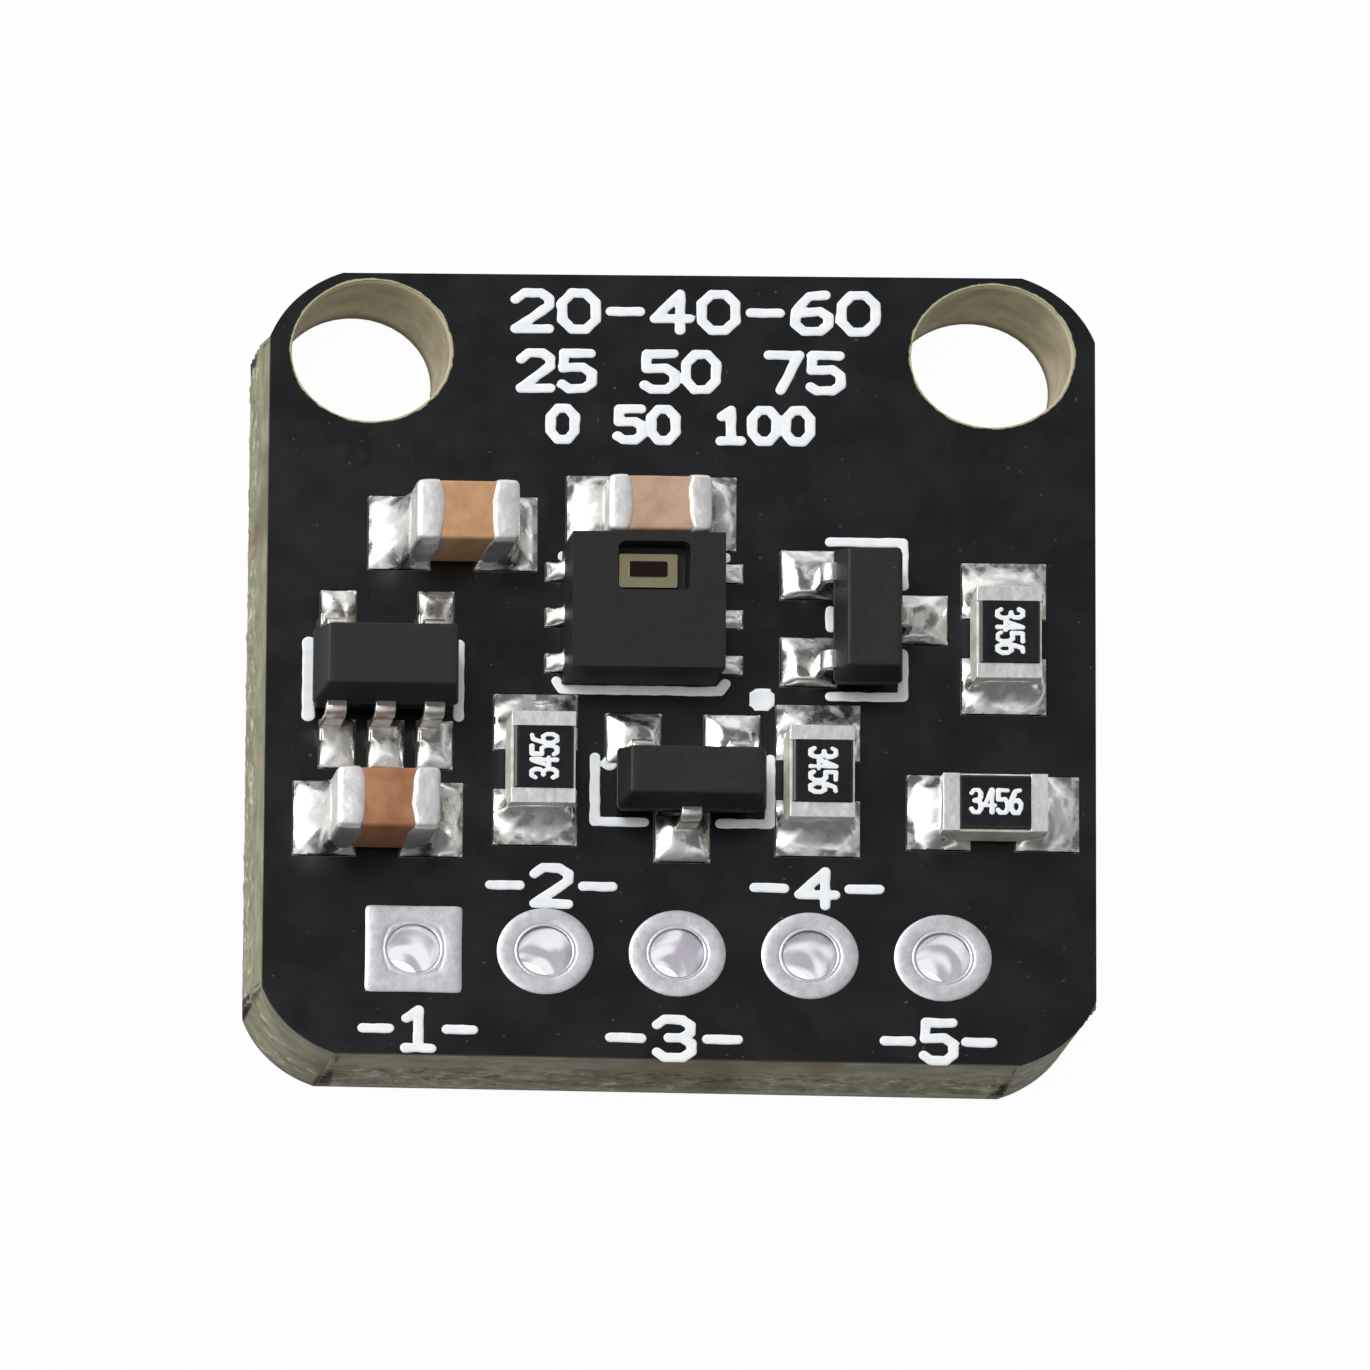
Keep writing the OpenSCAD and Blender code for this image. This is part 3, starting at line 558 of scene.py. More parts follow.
class BOARD_OT_edge(bpy.types.Operator):
    """Builds the laminate with its scored and broken edges, routed corners and drilled holes"""

    bl_idname = "board.edge"
    bl_label = "Laminate and its edges"

    def execute(self, context):
        finish = context.scene.board_finish
        rough = finish.edge_rough / MM
        points, outward, routed = outline()
        run = np.concatenate([[0], np.cumsum(np.linalg.norm(np.diff(points, axis=0), axis=1))])
        rows = []
        for z in np.linspace(*CORE, 42):
            depth = min(z, TOP - z)
            slope = 0.1 * min(depth / 0.4, 1)
            web = min(max((depth - 0.34) / 0.08, 0), 1)
            # fibres run along the edge in layers, so the relief is stretched along it
            at = np.stack([run, np.full_like(run, 4.5 * z)], axis=1)
            torn = 0.7 * ripple(at, 11, 0.34) + 0.5 * ripple(at, 12, 0.12) + 0.35 * ripple(
                at * (0.4, 2.2), 13, 0.10)
            scored = slope + 0.05 * rough * ripple(at * (0.15, 3), 14, 0.1)
            broken = scored + web * rough * (torn - 0.25)
            milled = 0.10 * rough * ripple(at * (1, 0.12), 15, 0.10) + 0.08 * rough * ripple(at, 16, 0.2)
            out = np.where(routed, milled, broken)[:, None]
            rows.append(np.column_stack([points + outward * out, np.full(len(points), z)]))
        parts = [wall(rows)]
        holes = [circle(spot, MOUNT_R) for spot in MOUNTS]
        holes += [circle(spot, HEADER_R + 0.04) for spot in HEADERS]
        for z, facing, row in ((CORE[1], 1, rows[-1]), (CORE[0], -1, rows[0])):
            parts.append(plate([row[:, :2]] + holes, z, facing))
        for k, spot in enumerate(MOUNTS + HEADERS):
            r = MOUNT_R if k < len(MOUNTS) else HEADER_R + 0.04
            drilled = []
            for z in np.linspace(*CORE, 14):
                loop = circle(spot, r)
                at = np.column_stack([loop, np.full(len(loop), 0.6 * z)])
                shrink = 1 + (0.006 * ripple(at, 21 + k, 0.22) * (CORE[0] < z < CORE[1]))[:, None] / r
                middle = np.array(spot)
                drilled.append(np.column_stack([(loop - middle) * shrink + middle,
                                                np.full(len(loop), z)]))
            parts.append(wall(drilled[::-1]))
        piece("laminate_piece", parts, laminate_paint(), ("laminate",), 35)
        return {"FINISHED"}


def revolved(spot, profile, count=96, reach=None):
    """A ring of revolution from (share, z) pairs. A share of nought is the hole's wall and one is
    the outline, which `reach` gives for each direction."""
    turns = np.linspace(0, 2 * math.pi, count, endpoint=False)
    outer = np.array([reach(turn) for turn in turns]) if reach else np.full(count, PAD_R)
    rows = []
    for share, z in profile:
        r = HEADER_R + share * (outer - HEADER_R)
        rows.append(np.column_stack([spot[0] + r * np.cos(turns), spot[1] + r * np.sin(turns),
                                     np.full(count, z)]))
    return tube(rows, (False, False))


def square_reach(turn):
    c, s = abs(math.cos(turn)), abs(math.sin(turn))
    # a square with corners rounded by the power of the norm
    return PAD_R / (c ** 26 + s ** 26) ** (1 / 26)


class BOARD_OT_rings(bpy.types.Operator):
    """Builds the five plated header holes, the first with a square pad"""

    bl_idname = "board.rings"
    bl_label = "Header rings"

    def execute(self, context):
        metal = pad_tin()
        profile = [(1, 0.03), (1.0, 0.006), (0.985, 0), (0.2, -0.002), (0.08, 0), (0.03, 0.006),
                   (0.005, 0.022), (0, 0.06)]
        profile += [(-0.004 * math.sin(k * 1.3), 0.1 + 1.42 * k / 10) for k in range(11)]
        profile += [(0, SEAT - 0.045), (0.012, SEAT - 0.018), (0.04, SEAT - 0.004),
                    (0.09, SEAT + 0.003), (0.16, SEAT + 0.002), (0.2, SEAT - 0.006),
                    (0.24, SEAT + 0.001), (0.34, SEAT + 0.006), (0.7, SEAT + 0.006),
                    (0.92, SEAT + 0.001), (1.0, SEAT - 0.008), (1.05, SEAT - 0.02), (1.05, CORE[1])]
        for i, spot in enumerate(HEADERS):
            reach = square_reach if i == 0 else None
            part = revolved(spot, profile, 128, reach)
            piece(f"header_ring_{i + 1}_piece", [part], metal, (f"header_ring_{i + 1}",), 50)
        for name in ("capacitor_lands", "resistor_lands", "transistor_lands", "regulator_lands",
                     "sensor_lands"):
            dress(name, metal)
        dress("via_barrels", via_copper())
        return {"FINISHED"}


class BOARD_OT_mask(bpy.types.Operator):
    """Paints both coats of solder mask and raises it over the filled vias"""

    bl_idname = "board.mask"
    bl_label = "Solder mask"

    def execute(self, context):
        paint_coat = mask_paint()
        edge = outline()[0]
        for side, facing, inner in (("front", 1, CORE[1]), ("back", -1, CORE[0])):
            node = f"solder_mask_{side}"
            outer = TOP if facing > 0 else 0.0
            holes = openings(node, outer)
            loops = [edge] + holes
            parts = [plate(loops, outer, facing), plate(loops, inner, -facing)]
            low, high = min(inner, outer), max(inner, outer)
            for k, loop in enumerate(loops):
                rows = [np.column_stack([loop, np.full(len(loop), z)]) for z in (low, high)]
                parts.append(wall(rows if k == 0 else rows[::-1]))
            piece(f"{node}_coat", parts, paint_coat, (node,), 40)
        # each tent is a low ring with a dimple over the hole
        tent = ((0.36, 0), (0.30, 0.002), (0.24, 0.005), (0.19, 0.006), (0.14, 0.004), (0.09, 0.001),
                (0.04, 0.0005))
        parts = []
        for spot in VIAS:
            rows = [np.column_stack([circle(spot, r, 40), np.full(40, TOP + rise)]) for r, rise in tent]
            parts.append(tube(rows, (False, True)))
        piece("via_tents", parts, paint_coat, (), 60)
        return {"FINISHED"}


# Print

GLYPHS = {
    "0": [[(0, .26), (0, .74), (.18, 1), (.44, 1), (.62, .74), (.62, .26), (.44, 0), (.18, 0), (0, .26)]],
    "1": [[(.08, .78), (.32, 1), (.32, 0)], [(.06, 0), (.58, 0)]],
    "2": [[(0, .82), (.16, 1), (.46, 1), (.62, .84), (.62, .64), (0, 0), (.62, 0)]],
    "3": [[(0, .86), (.14, 1), (.46, 1), (.6, .86), (.6, .66), (.44, .53), (.22, .53)],
          [(.44, .53), (.62, .38), (.62, .16), (.46, 0), (.14, 0), (0, .14)]],
    "4": [[(.46, 0), (.46, 1), (0, .32), (.64, .32)]],
    "5": [[(.6, 1), (.04, 1), (.02, .58), (.44, .6), (.62, .44), (.62, .16), (.46, 0), (.14, 0),
           (0, .12)]],
    "6": [[(.56, 1), (.26, .96), (.02, .56), (0, .2), (.16, 0), (.46, 0), (.62, .18), (.62, .4),
           (.46, .56), (.04, .5)]],
    "7": [[(0, 1), (.62, 1), (.24, 0)]],
    "8": [[(.16, .54), (.02, .7), (.02, .86), (.16, 1), (.46, 1), (.6, .86), (.6, .7), (.46, .54),
           (.16, .54), (0, .36), (0, .16), (.16, 0), (.46, 0), (.62, .16), (.62, .36), (.46, .54)]],
    "-": [[(.04, .5), (.58, .5)]],
    " ": [],
}


def lettering(text, middle, width, height, pen, turn=0.0):
    """Strokes (x, y, x, y, half width) of plain figures that fill width by height round middle."""
    pitch = (width - pen) / (len(text) - 0.28)
    tall = height - pen
    ways = math.cos(math.radians(turn)), math.sin(math.radians(turn))
    strokes = []
    for place, sign in enumerate(text):
        for path in GLYPHS[sign]:
            line = []
            for x, y in path:
                along = pitch * (place + x / 0.62 * 0.72) - (width - pen) / 2
                across = (y - 0.5) * tall
                line.append((middle[0] + along * ways[0] - across * ways[1],
                             middle[1] + along * ways[1] + across * ways[0]))
            strokes += [(*a, *b, pen / 2) for a, b in zip(line, line[1:])]
    return strokes


def printed(strokes, z, height, seed, cell=0.024, wobble=0.006):
    """Raised ink along strokes, with a soft edge that wanders a little."""
    lines = np.array(strokes, float)
    lows = np.minimum(lines[:, 0:2], lines[:, 2:4]).min(0) - 0.3
    highs = np.maximum(lines[:, 0:2], lines[:, 2:4]).max(0) + 0.3
    xs, ys = (np.arange(lows[k], highs[k], cell) for k in (0, 1))
    grid = np.stack(np.meshgrid(xs, ys, indexing="ij"), axis=2)
    inside = np.full(grid.shape[:2], -1.0)
    for ax, ay, bx, by, half in lines:
        x0, x1 = (np.searchsorted(xs, v) for v in (min(ax, bx) - 0.25, max(ax, bx) + 0.25))
        y0, y1 = (np.searchsorted(ys, v) for v in (min(ay, by) - 0.25, max(ay, by) + 0.25))
        near = grid[x0:x1, y0:y1]
        way = np.array((bx - ax, by - ay))
        share = np.clip(((near - (ax, ay)) @ way) / max(way @ way, 1e-9), 0, 1)[..., None]
        gap = np.linalg.norm(near - ((ax, ay) + share * way), axis=2)
        inside[x0:x1, y0:y1] = np.maximum(inside[x0:x1, y0:y1], half - gap)
    inside += wobble * ripple(grid, seed, 0.2)
    hit = inside > 0
    used = hit[:-1, :-1] | hit[1:, :-1] | hit[1:, 1:] | hit[:-1, 1:]
    slope = np.stack(np.gradient(inside, cell), axis=2)
    steep = np.maximum((slope ** 2).sum(2), 0.25)
    # points outside the ink come in to its edge
    shift = np.clip(-inside / steep, 0, 1.5 * cell)[..., None] * slope * (~hit)[..., None]
    spots = grid + shift
    rise = height * np.sqrt(1 - (1 - np.clip(inside / 0.04, 0, 1)) ** 2)
    number = -np.ones(hit.shape, int)
    corners = np.zeros(hit.shape, bool)
    for dx, dy in ((0, 0), (1, 0), (1, 1), (0, 1)):
        corners[dx : dx + used.shape[0], dy : dy + used.shape[1]] |= used
    number[corners] = np.arange(corners.sum())
    points = np.column_stack([spots[corners], z + rise[corners]])
    i, j = np.nonzero(used)
    faces = np.stack([number[i, j], number[i + 1, j], number[i + 1, j + 1], number[i, j + 1]], axis=1)
    return points, faces.tolist()


def path(points, pen):
    return [(*a, *b, pen / 2) for a, b in zip(points, points[1:])]


class BOARD_OT_print(bpy.types.Operator):
    """Prints the lines round the parts, and plain figures where the board has its words"""

    bl_idname = "board.print"
    bl_label = "Legend print"

    def execute(self, context):
        rise = context.scene.board_finish.ink_height / MM
        rows = (
            (("20-40-60", (0.28, 7.74), 7.18, 1.00), 1),
            (("25 50 75", (0.00, 6.42), 6.40, 0.98), 2),
            (("0 50 100", (0.00, 5.25), 5.23, 0.88), 3),
            (("-1-", (-4.98, -8.01), 2.41, 1.02), 4),
            (("-2-", (-2.43, -4.86), 2.64, 0.98), 5),
            (("-3-", (-0.05, -8.12), 2.72, 1.01), 6),
            (("-4-", (2.67, -4.83), 2.68, 0.93), 7),
            (("-5-", (5.00, -8.08), 2.32, 1.01), 8),
        )
        parts = [printed(lettering(*words, 0.2), TOP, rise, seed) for words, seed in rows]
        lines = path([(-7.17, -1.23), (-7.17, 0.37)], 0.26) + path([(-4.25, -1.23), (-4.25, 0.37)], 0.2)
        lines += path([(-2.36, -0.40), (-2.255, -0.585), (0.795, -0.585), (0.895, -0.40)], 0.2)
        lines += path([(-2.255, 2.33), (-2.255, 2.35)], 0.2) + path([(0.895, 2.31), (0.895, 2.36)], 0.17)
        lines += path([(1.60, -0.75), (1.601, -0.75)], 0.52)
        lines += path([(-1.33, -2.18), (-1.325, -2.18)], 0.3)
        lines += path([(2.92, 0.84), (2.92, 1.22)], 0.2)
        for (cx, cy), turn in (((3.56, 1.03), -90), ((0.08, -2.70), 180)):
            ways = math.cos(math.radians(turn)), math.sin(math.radians(turn))
            for side in (-1, 1):
                drawn = [(side * 1.685, -0.65), (side * 1.685, 0.75), (side * 0.73, 0.75)]
                lines += path([(cx + x * ways[0] - y * ways[1], cy + x * ways[1] + y * ways[0])
                               for x, y in drawn], 0.2)
        parts.append(printed(lines, TOP, rise, 9))
        piece("legend", parts, ink_paint(), ("legend_print",), 60)
        return {"FINISHED"}


# Parts

def pool(land, foot, crown, seed, amount, end=None, fade=0.2, slope=1.9, cell=0.03, spread=0.0):
    """Solder on one land, in mm. It climbs to `crown` where it meets the foot, and thins out to the
    land's edge. With an `end` (axis, sign) the foot is a chip's end, which the solder only leans on;
    without one it is a lead's foot, which the solder covers."""
    low, high = land[0][:2], land[1][:2]
    count = np.maximum(((high - low) / cell).astype(int), 4)
    axes = [np.linspace(low[k], high[k], count[k] + 1) for k in (0, 1)]
    grid = np.stack(np.meshgrid(*axes, indexing="ij"), axis=2)
    near = np.clip(grid, foot[0][:2], foot[1][:2])
    gap = np.linalg.norm(grid - near, axis=2)
    edge = np.minimum(grid - low, high - grid).min(axis=2)
    share = gap / (gap + edge + 1e-6)
    top = np.full(gap.shape, crown)
    deep = np.minimum(grid - foot[0][:2], foot[1][:2] - grid).min(axis=2)
    if end:
        axis, sign = end
        face = foot[1][axis] if sign > 0 else foot[0][axis]
        back = np.abs(near[..., axis] - face)
        middle, half = (foot[0] + foot[1])[1 - axis] / 2, (foot[1] - foot[0])[1 - axis] / 2
        off = np.abs(near[..., 1 - axis] - middle) / half
        top = crown * (1 - 0.32 * off ** 4) * (0.25 + 0.75 * np.exp(-((back / fade) ** 2)))
    rise = 0.004 + top * (1 - share) ** slope + spread * 4 * share * (1 - share)
    calm = np.clip(edge / 0.12, 0, 1)
    rise += calm * amount * (ripple(grid, seed, 0.32) + 0.25 * ripple(grid, seed + 1, 0.14))
    rise = np.maximum(rise, 0.004)
    held = edge < 1e-6
    if end:
        held |= (deep > 0)
        rise[deep > 0.05] = 0.004
    for _ in range(3):
        mean = rise.copy()
        mean[1:-1, 1:-1] = (rise[2:, 1:-1] + rise[:-2, 1:-1] + rise[1:-1, 2:] + rise[1:-1, :-2]) / 4
        rise = np.where(held, rise, 0.5 * rise + 0.5 * mean)
    rise[edge < 1e-6] = 0.002
    # the land's corners are round
    spots = grid.copy()
    r = 0.09
    inner = np.clip(grid, low + r, high - r)
    out = grid - inner
    both = (np.abs(out) > 0).all(axis=2)
    reach = np.linalg.norm(out, axis=2)
    squeeze = np.where(both, np.abs(out).max(axis=2) / np.maximum(reach, 1e-9), 1.0)
    spots = inner + out * squeeze[..., None]
    nx, ny = grid.shape[:2]
    points = np.column_stack([spots.reshape(-1, 2), (SEAT + rise).ravel()])
    number = np.arange(nx * ny).reshape(nx, ny)
    faces = np.stack([number[:-1, :-1], number[1:, :-1], number[1:, 1:], number[:-1, 1:]],
                     axis=2).reshape(-1, 4).tolist()
    rim = np.concatenate([number[:-1, 0], number[-1, :-1], number[:0:-1, -1], number[0, :0:-1]])
    under = points[rim].copy()
    under[:, 2] = CORE[1]
    base = len(points)
    for k in range(len(rim)):
        j = (k + 1) % len(rim)
        faces.append([base + k, base + j, int(rim[j]), int(rim[k])])
    return np.concatenate([points, under]), faces


def chip_joints(name, seed, share, amount, tall):
    """Solder at both ends of a two terminal chip."""
    low, high = box(f"{name}_terminals")
    ends = blocks(f"{name}_terminals")
    lands = blocks("capacitor_lands" if name.startswith("capacitor") else "resistor_lands")
    middle = (low + high) / 2
    parts = []
    for k, end in enumerate(ends):
        spot = (end[0] + end[1]) / 2
        axis = int(np.argmax(np.abs(spot - middle)[:2]))
        sign = 1 if spot[axis] > middle[axis] else -1
        land = nearest(lands, spot)
        parts.append(pool(land, end, share * tall, seed + 3 * k, amount, (axis, sign)))
    return parts


class BOARD_OT_capacitors(bpy.types.Operator):
    """Builds the three ceramic capacitors, their dipped terminals and their solder"""

    bl_idname = "board.capacitors"
    bl_label = "Capacitors"

    def execute(self, context):
        finish = context.scene.board_finish
        metal, solder = terminal_tin(), solder_metal()
        tones = (("ceramic_tan_sintered", "#B98A62", "#CDA07A"),
                 ("ceramic_grey_sintered", "#B5937A", "#C8A990"),
                 ("ceramic_brown_sintered", "#9C6746", "#B78362"))
        wraps = (0.46, 0.38, 0.46)
        for i in range(3):
            name = f"capacitor_{i + 1}"
            low, high = box(f"{name}_terminals")
            middle, half = (low + high) / 2, (high - low) / 2
            length, a, b = half
            # Ceramic
            body = []
            for x in np.linspace(-length + 0.12, length - 0.12, 14):
                loop = soft_loop(a - 0.03, b - 0.03, 0.07)
                at = np.column_stack([np.full(len(loop), x), loop])
                swell = 1 + 0.004 * ripple(at, 40 + i, 0.6)[:, None]
                body.append(np.column_stack([np.full(len(loop), x), loop * swell]) + middle)
            piece(f"{name}_ceramic", [tube(body)], ceramic(*tones[i]), (f"{name}_body",), 40)
            # Terminals
            caps = []
            for sign in (-1, 1):
                loops = []
                stations = [(0.0, 0.16, 0.25), (0.0, 0.06, 0.6), (0.004, 0.0, 0.8)]
                stations += [(0.11 * (1 - math.cos(t)), 0, 1 - 0.11 / a * (1 - math.sin(t)))
                             for t in np.linspace(0, math.pi / 2, 7)]
                for depth, _, size in stations:
                    loop = soft_loop(a, b, 0.12) * size
                    loops.append((np.full(len(loop), depth), loop))
                loop = soft_loop(a, b, 0.12)
                bulge = 0.085 * np.maximum(1 - (loop[:, 0] / a) ** 2, 1 - (loop[:, 1] / b) ** 2)
                ragged = 0.018 * ripple(np.column_stack([loop * 1.0, np.full(len(loop), sign)]),
                                        50 + i, 0.25)
                wrap = wraps[i] + bulge + ragged
                for share in (0.35, 0.55, 0.75, 0.88):
                    crown = 1 + 0.014 * math.sin(math.pi * share)
                    loops.append((0.11 + (wrap - 0.11) * share, loop * crown))
                for t in np.linspace(0.2, 1, 4):
                    thin = 0.034 * (1 - math.cos(t * math.pi / 2))
                    loops.append((0.11 + (wrap - 0.11) * (0.88 + 0.12 * math.sin(t * math.pi / 2)),
                                  loop * (1 - thin / np.array((a, b)))))
                rows = []
                for depth, flat in loops:
                    x = (length - depth) * sign
                    rows.append(np.column_stack([x, flat]) + middle)
                made = tube(rows if sign < 0 else rows[::-1], (sign < 0, sign > 0))
                caps.append(made)
            piece(f"{name}_ends", caps, metal, (f"{name}_terminals",), 50)
            piece(f"{name}_joints",
                  chip_joints(name, 60 + 10 * i, 0.58, finish.solder_ripple / MM, 2 * b),
                  solder, (f"{name}_solder",), 70)
        return {"FINISHED"}


class BOARD_OT_resistors(bpy.types.Operator):
    """Builds the four chip resistors with their coats, figures and solder"""

    bl_idname = "board.resistors"
    bl_label = "Resistors"

    def execute(self, context):
        finish = context.scene.board_finish
        white, metal, coat, ink, solder = (alumina(), terminal_tin(), glass_coat(), ink_paint(),
                                           solder_metal())
        turns = (90, -90, -90, 0)
        for i in range(4):
            name = f"resistor_{i + 1}"
            refined(f"{name}_ceramic", f"{name}_base", white, 0.02)
            refined(f"{name}_ends", f"{name}_terminals", metal, 0.014)
            refined(f"{name}_glass", f"{name}_coat", coat, 0.008, 1, 50)
            low, high = box(f"{name}_coat")
            middle = (low + high) / 2
            strokes = lettering("3456", middle[:2], 1.04, 0.58, 0.10, turns[i])
            piece(f"{name}_figures",
                  [printed(strokes, high[2] - 0.002, 0.008, 90 + i, 0.016, 0.006)], ink, (), 60)
            tall = box(f"{name}_terminals")
            piece(f"{name}_joints",
                  chip_joints(name, 100 + 10 * i, 0.72, finish.solder_ripple / MM,
                              tall[1][2] - tall[0][2]),
                  solder, (f"{name}_solder",), 70)
        return {"FINISHED"}


def moulded(name, node, level, paint_coat, draft=0.14):
    """A moulded body: sloped sides, round edges and a parting line at the leads' height."""
    low, high = box(node)
    middle = (low + high) / 2
    a, b = (high - low)[:2] / 2
    bottom, top = low[2], high[2]
    rows = []

    def ring(z, inset, r=0.07):
        loop = soft_loop(a - inset, b - inset, r, 5, 14)
        rows.append(np.column_stack([loop + middle[:2], np.full(len(loop), z)]))

    under = draft * (level - bottom) / (top - level)
    for t in np.linspace(0, math.pi / 2, 5):
        ring(bottom + 0.04 * (1 - math.cos(t)), under + 0.04 * (1 - math.sin(t)))
    ring(level - 0.016, 0.004)
    ring(level - 0.010, -0.010)
    ring(level + 0.008, -0.010)
    ring(level + 0.014, 0.006)
    edge = 0.055
    for t in np.linspace(0, math.pi / 2, 7):
        ring(top - edge + edge * math.sin(t), draft - 0.01 + edge * (1 - math.cos(t)))
    for k, row in enumerate(rows[-1:]):
        # the top sinks a little as the mould compound shrinks
        for size in (0.9, 0.6, 0.3):
            flat = (row - (*middle[:2], 0)) * (size, size, 1) + (*middle[:2], 0)
            flat[:, 2] = top - 0.006 * (1 - size)
            rows.append(flat)
    piece(name, [tube(rows)], paint_coat, (node,), 40)
    return middle


def lead_joints(prefix, lands_name, axis, seed, amount, cover, spread):
    """Solder over each lead's foot."""
    body = sum(box(f"{prefix}_body")) / 2
    lands = blocks(lands_name)
    parts = []
    for k, (low, high) in enumerate(blocks(f"{prefix}_leads")):
        sign = 1 if (low + high)[axis] / 2 > body[axis] else -1
        tip = high[axis] if sign > 0 else low[axis]
        foot = [low.copy(), high.copy()]
        heel = tip - sign * 0.34
        foot[0][axis], foot[1][axis] = min(tip, heel), max(tip, heel)
        land = nearest(lands, (foot[0] + foot[1]) / 2)
        parts.append(pool(land, foot, 0.13 + cover, seed + 3 * k, amount, None, slope=1.25,
                          spread=spread))
    return parts


class BOARD_OT_packages(bpy.types.Operator):
    """Builds the regulator and the two transistors with their leads and solder"""

    bl_idname = "board.packages"
    bl_label = "Moulded packages"

    def execute(self, context):
        amount = context.scene.board_finish.solder_ripple / MM
        compound, metal, solder = mould_compound(), lead_tin(), solder_metal()
        for name, lands, axis, level in (("regulator", "regulator_lands", 1, 0.6),
                                         ("transistor_1", "transistor_lands", 0, 0.55),
                                         ("transistor_2", "transistor_lands", 1, 0.55)):
            moulded(f"{name}_moulding", f"{name}_body", SEAT + level, compound)
            refined(f"{name}_pins", f"{name}_leads", metal, 0.022, 2, 32, 50)
            piece(f"{name}_joints",
                  lead_joints(name, lands, axis, 200 + 20 * axis, amount, 0.03, 0.05),
                  solder, (f"{name}_solder",), 70)
        return {"FINISHED"}


class BOARD_OT_sensor(bpy.types.Operator):
    """Builds the sensor with its window, chip, film, contacts and solder"""

    bl_idname = "board.sensor"
    bl_label = "Humidity sensor"

    def execute(self, context):
        amount = context.scene.board_finish.solder_ripple / MM
        refined("sensor_moulding", "sensor_package",
                mould_compound("mould_compound_sensor", "#08080A", "#0C0C0E"), 0.025, 3, 40, 50)
        refined("sensor_silicon", "sensor_chip", chip_metal(), 0.012, 2, 40, 50)
        dress("sensor_film", film_gloss())
        dress("sensor_contacts", lead_tin())
        lands = blocks("sensor_lands")
        body = sum(box("sensor_package")) / 2
        parts = []
        for k, (low, high) in enumerate(blocks("sensor_contacts")):
            if high[0] - low[0] > 1:
                continue
            sign = 1 if (low + high)[0] / 2 > body[0] else -1
            land = nearest(lands, (low + high) / 2 + (0.3 * sign, 0, 0))
            parts.append(pool(land, (low, high), 0.17, 300 + 3 * k, amount, (0, sign), 0.3, 1.3, 0.02,
                              0.05))
        piece("sensor_joints", parts, solder_metal(), ("sensor_solder",), 70)
        return {"FINISHED"}


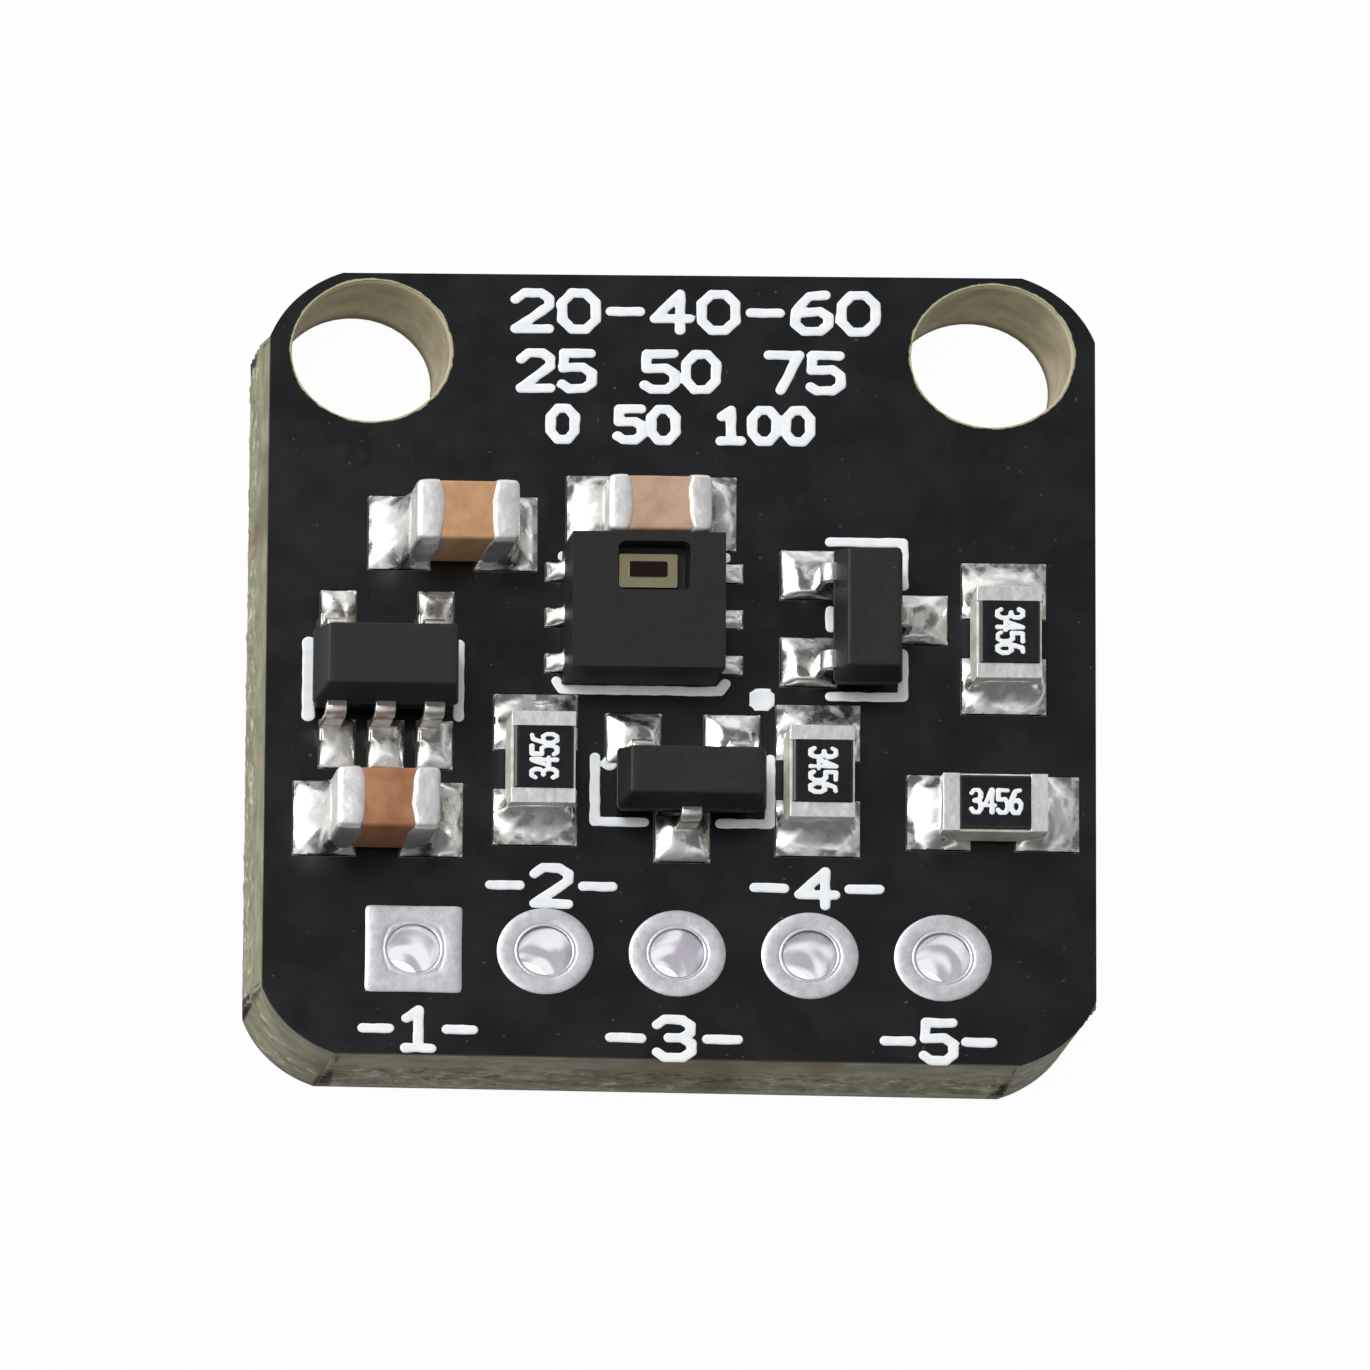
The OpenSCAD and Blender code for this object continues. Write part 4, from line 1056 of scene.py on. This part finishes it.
class BOARD_OT_studio(bpy.types.Operator):
    """Sets the floor, the air, the lamps and the camera"""

    bl_idname = "board.studio"
    bl_label = "Studio"

    def execute(self, context):
        scene = context.scene
        studio = scene.board_studio
        scene.view_settings.view_transform = "Standard"
        # Floor
        mesh = bpy.data.meshes.new("studio_floor")
        # it lies a hair under the board, as two faces in one plane would flicker
        low = -0.005 * MM
        mesh.from_pydata([(-1, -1, low), (1, -1, low), (1, 1, low), (-1, 1, low)], [], [(0, 1, 2, 3)])
        floor = bpy.data.objects.new("studio_floor", mesh)
        scene.collection.objects.link(floor)
        material = bpy.data.materials.new("floor_white_paper")
        material.use_nodes = True
        tree = material.node_tree
        tree.nodes.clear()
        out = add(tree, "ShaderNodeOutputMaterial")
        paper = add(tree, "ShaderNodeBsdfDiffuse", values={"Color": linear("#EFEFEF")})
        white = add(tree, "ShaderNodeEmission", values={"Color": (1, 1, 1, 1), "Strength": 1.0})
        path_kind = add(tree, "ShaderNodeLightPath")
        # seen straight or in metal the floor is lit evenly, and only the rest takes the shadow
        seen = add(tree, "ShaderNodeMath", {"operation": "MAXIMUM"}, None,
                   {0: path_kind.outputs["Is Camera Ray"], 1: path_kind.outputs["Is Glossy Ray"]})
        share = add(tree, "ShaderNodeMath", {"operation": "MULTIPLY"},
                    {1: studio.floor_glow}, {0: seen.outputs[0]})
        mix = add(tree, "ShaderNodeMixShader", links={
            0: share.outputs[0], 1: paper.outputs[0], 2: white.outputs[0]})
        tree.links.new(mix.outputs[0], out.inputs["Surface"])
        mesh.materials.append(material)
        # Air: bright overhead and behind, dark in front. A dark card hangs where the flat board
        # would mirror the light, so that its black stays black.
        world = bpy.data.worlds.new("studio_air")
        scene.world = world
        world.use_nodes = True
        tree = world.node_tree
        tree.nodes.clear()
        out = add(tree, "ShaderNodeOutputWorld")
        path_kind = add(tree, "ShaderNodeLightPath")
        way = add(tree, "ShaderNodeTexCoord").outputs["Generated"]
        lean = Vector((-0.20, 0.60, 0.77)).normalized()
        facing = add(tree, "ShaderNodeVectorMath", {"operation": "DOT_PRODUCT"}, {1: lean},
                     {0: way}).outputs["Value"]
        light = remap(tree, facing, 0.1, 0.75, studio.air_low, studio.air_high)
        card = Vector((0.25, 0.46, 0.85)).normalized()
        at_card = add(tree, "ShaderNodeVectorMath", {"operation": "DOT_PRODUCT"}, {1: card},
                      {0: way}).outputs["Value"]
        strength = add(tree, "ShaderNodeMath", {"operation": "MULTIPLY"}, None, {
            0: light, 1: remap(tree, at_card, 0.80, 0.95, 1.0, studio.card)}).outputs[0]
        air = add(tree, "ShaderNodeBackground", values={"Color": (1, 1, 1, 1)},
                  links={"Strength": strength})
        seen = add(tree, "ShaderNodeBackground", values={"Color": (1, 1, 1, 1), "Strength": 1.0})
        mix = add(tree, "ShaderNodeMixShader", links={
            0: path_kind.outputs["Is Camera Ray"], 1: air.outputs[0], 2: seen.outputs[0]})
        tree.links.new(mix.outputs[0], out.inputs["Surface"])
        # Lamps
        for name, place, size, power in (
            ("lamp_over", (-0.17, 0.14, 0.27), (0.20, 0.20), studio.lamp_over),
            ("lamp_left", (-0.32, 0.06, 0.12), (0.16, 0.20), studio.lamp_left),
        ):
            lamp = bpy.data.lights.new(name, "AREA")
            lamp.shape = "RECTANGLE"
            lamp.size, lamp.size_y = size
            lamp.energy = power
            at = bpy.data.objects.new(name, lamp)
            at.location = place
            at.rotation_euler = Vector(place).to_track_quat("Z", "Y").to_euler()
            scene.collection.objects.link(at)
        # The photo holds the board's verticals at a slant that no turn of a camera gives: its lens
        # looked past the board with the sensor nearly level. The rig's matrix carries that slant,
        # as its three directions aren't quite square to each other.
        lens = bpy.data.cameras.new("view")
        lens.sensor_width = 36
        lens.lens = 314.299
        lens.clip_start, lens.clip_end = 0.01, 10
        camera = bpy.data.objects.new("view", lens)
        rig = bpy.data.objects.new("view_rig", None)
        scene.collection.objects.link(rig)
        scene.collection.objects.link(camera)
        camera.parent = rig
        right = (0.988026, 0.081191, -0.131193)
        up = (-0.058281, 0.979404, 0.193315)
        back = (-0.238592, -0.437880, 0.866796)
        eye = studio.eye
        camera.matrix_parent_inverse = Matrix([
            (right[k], up[k], back[k], eye[k]) for k in range(3)] + [(0, 0, 0, 1)])
        scene.camera = camera
        return {"FINISHED"}


# The add-on

class BoardFinish(bpy.types.PropertyGroup):
    edge_rough: FloatProperty(
        name="Broken edge", description="How uneven the broken web is", default=0.026 * MM,
        min=0.0, max=0.1 * MM, unit="LENGTH")
    ink_height: FloatProperty(
        name="Ink height", description="Height of the printed ink", default=0.014 * MM,
        min=0.005 * MM, max=0.03 * MM, unit="LENGTH")
    solder_ripple: FloatProperty(
        name="Solder ripple", description="How uneven the solder's skin is", default=0.012 * MM,
        min=0.0, max=0.03 * MM, unit="LENGTH")


class BoardStudio(bpy.types.PropertyGroup):
    floor_glow: FloatProperty(
        name="Floor glow", description="Share of the floor's white that takes no shadow",
        default=0.97, min=0.0, max=1.0, subtype="FACTOR")
    air_low: FloatProperty(
        name="Dark side", description="Light from the air near the front's horizon", default=0.14,
        min=0.0, max=1.0)
    air_high: FloatProperty(
        name="Bright side", description="Light from the air overhead and behind", default=1.0,
        min=0.0, max=2.0)
    card: FloatProperty(
        name="Card", description="Share of the air's light that the dark card leaves",
        default=0.10, min=0.0, max=1.0, subtype="FACTOR")
    lamp_over: FloatProperty(
        name="Upper lamp", description="Power of the soft lamp over the board's back",
        default=0.68, min=0.0, max=5.0, unit="POWER")
    lamp_left: FloatProperty(
        name="Left lamp", description="Power of the soft lamp at the left", default=0.11, min=0.0,
        max=5.0, unit="POWER")
    eye: FloatVectorProperty(
        name="Eye", description="Where the lens is", size=3,
        default=(-57.6825 * MM, -106.5328 * MM, 211.594 * MM), subtype="TRANSLATION")


STEPS = (BOARD_OT_edge, BOARD_OT_mask, BOARD_OT_rings, BOARD_OT_print, BOARD_OT_capacitors,
         BOARD_OT_resistors, BOARD_OT_packages, BOARD_OT_sensor, BOARD_OT_studio)


class BOARD_PT_steps(bpy.types.Panel):
    """Lists the steps that finish the board"""

    bl_label = "Sensor Board"
    bl_idname = "BOARD_PT_steps"
    bl_space_type = "VIEW_3D"
    bl_region_type = "UI"
    bl_category = "Board"

    def draw(self, context):
        for group in (context.scene.board_finish, context.scene.board_studio):
            for key in group.__annotations__:
                self.layout.prop(group, key)
        for step in STEPS:
            self.layout.operator(step.bl_idname)


CLASSES = (BoardFinish, BoardStudio, *STEPS, BOARD_PT_steps)


def register():
    for made in CLASSES:
        bpy.utils.register_class(made)
    bpy.types.Scene.board_finish = PointerProperty(type=BoardFinish)
    bpy.types.Scene.board_studio = PointerProperty(type=BoardStudio)


def unregister():
    del bpy.types.Scene.board_studio
    del bpy.types.Scene.board_finish
    for made in reversed(CLASSES):
        bpy.utils.unregister_class(made)


def main():
    register()
    bpy.ops.board.edge()
    bpy.ops.board.mask()
    bpy.ops.board.rings()
    bpy.ops.board.print()
    bpy.ops.board.capacitors()
    bpy.ops.board.resistors()
    bpy.ops.board.packages()
    bpy.ops.board.sensor()
    bpy.ops.board.studio()


if __name__ == "__main__":
    main()
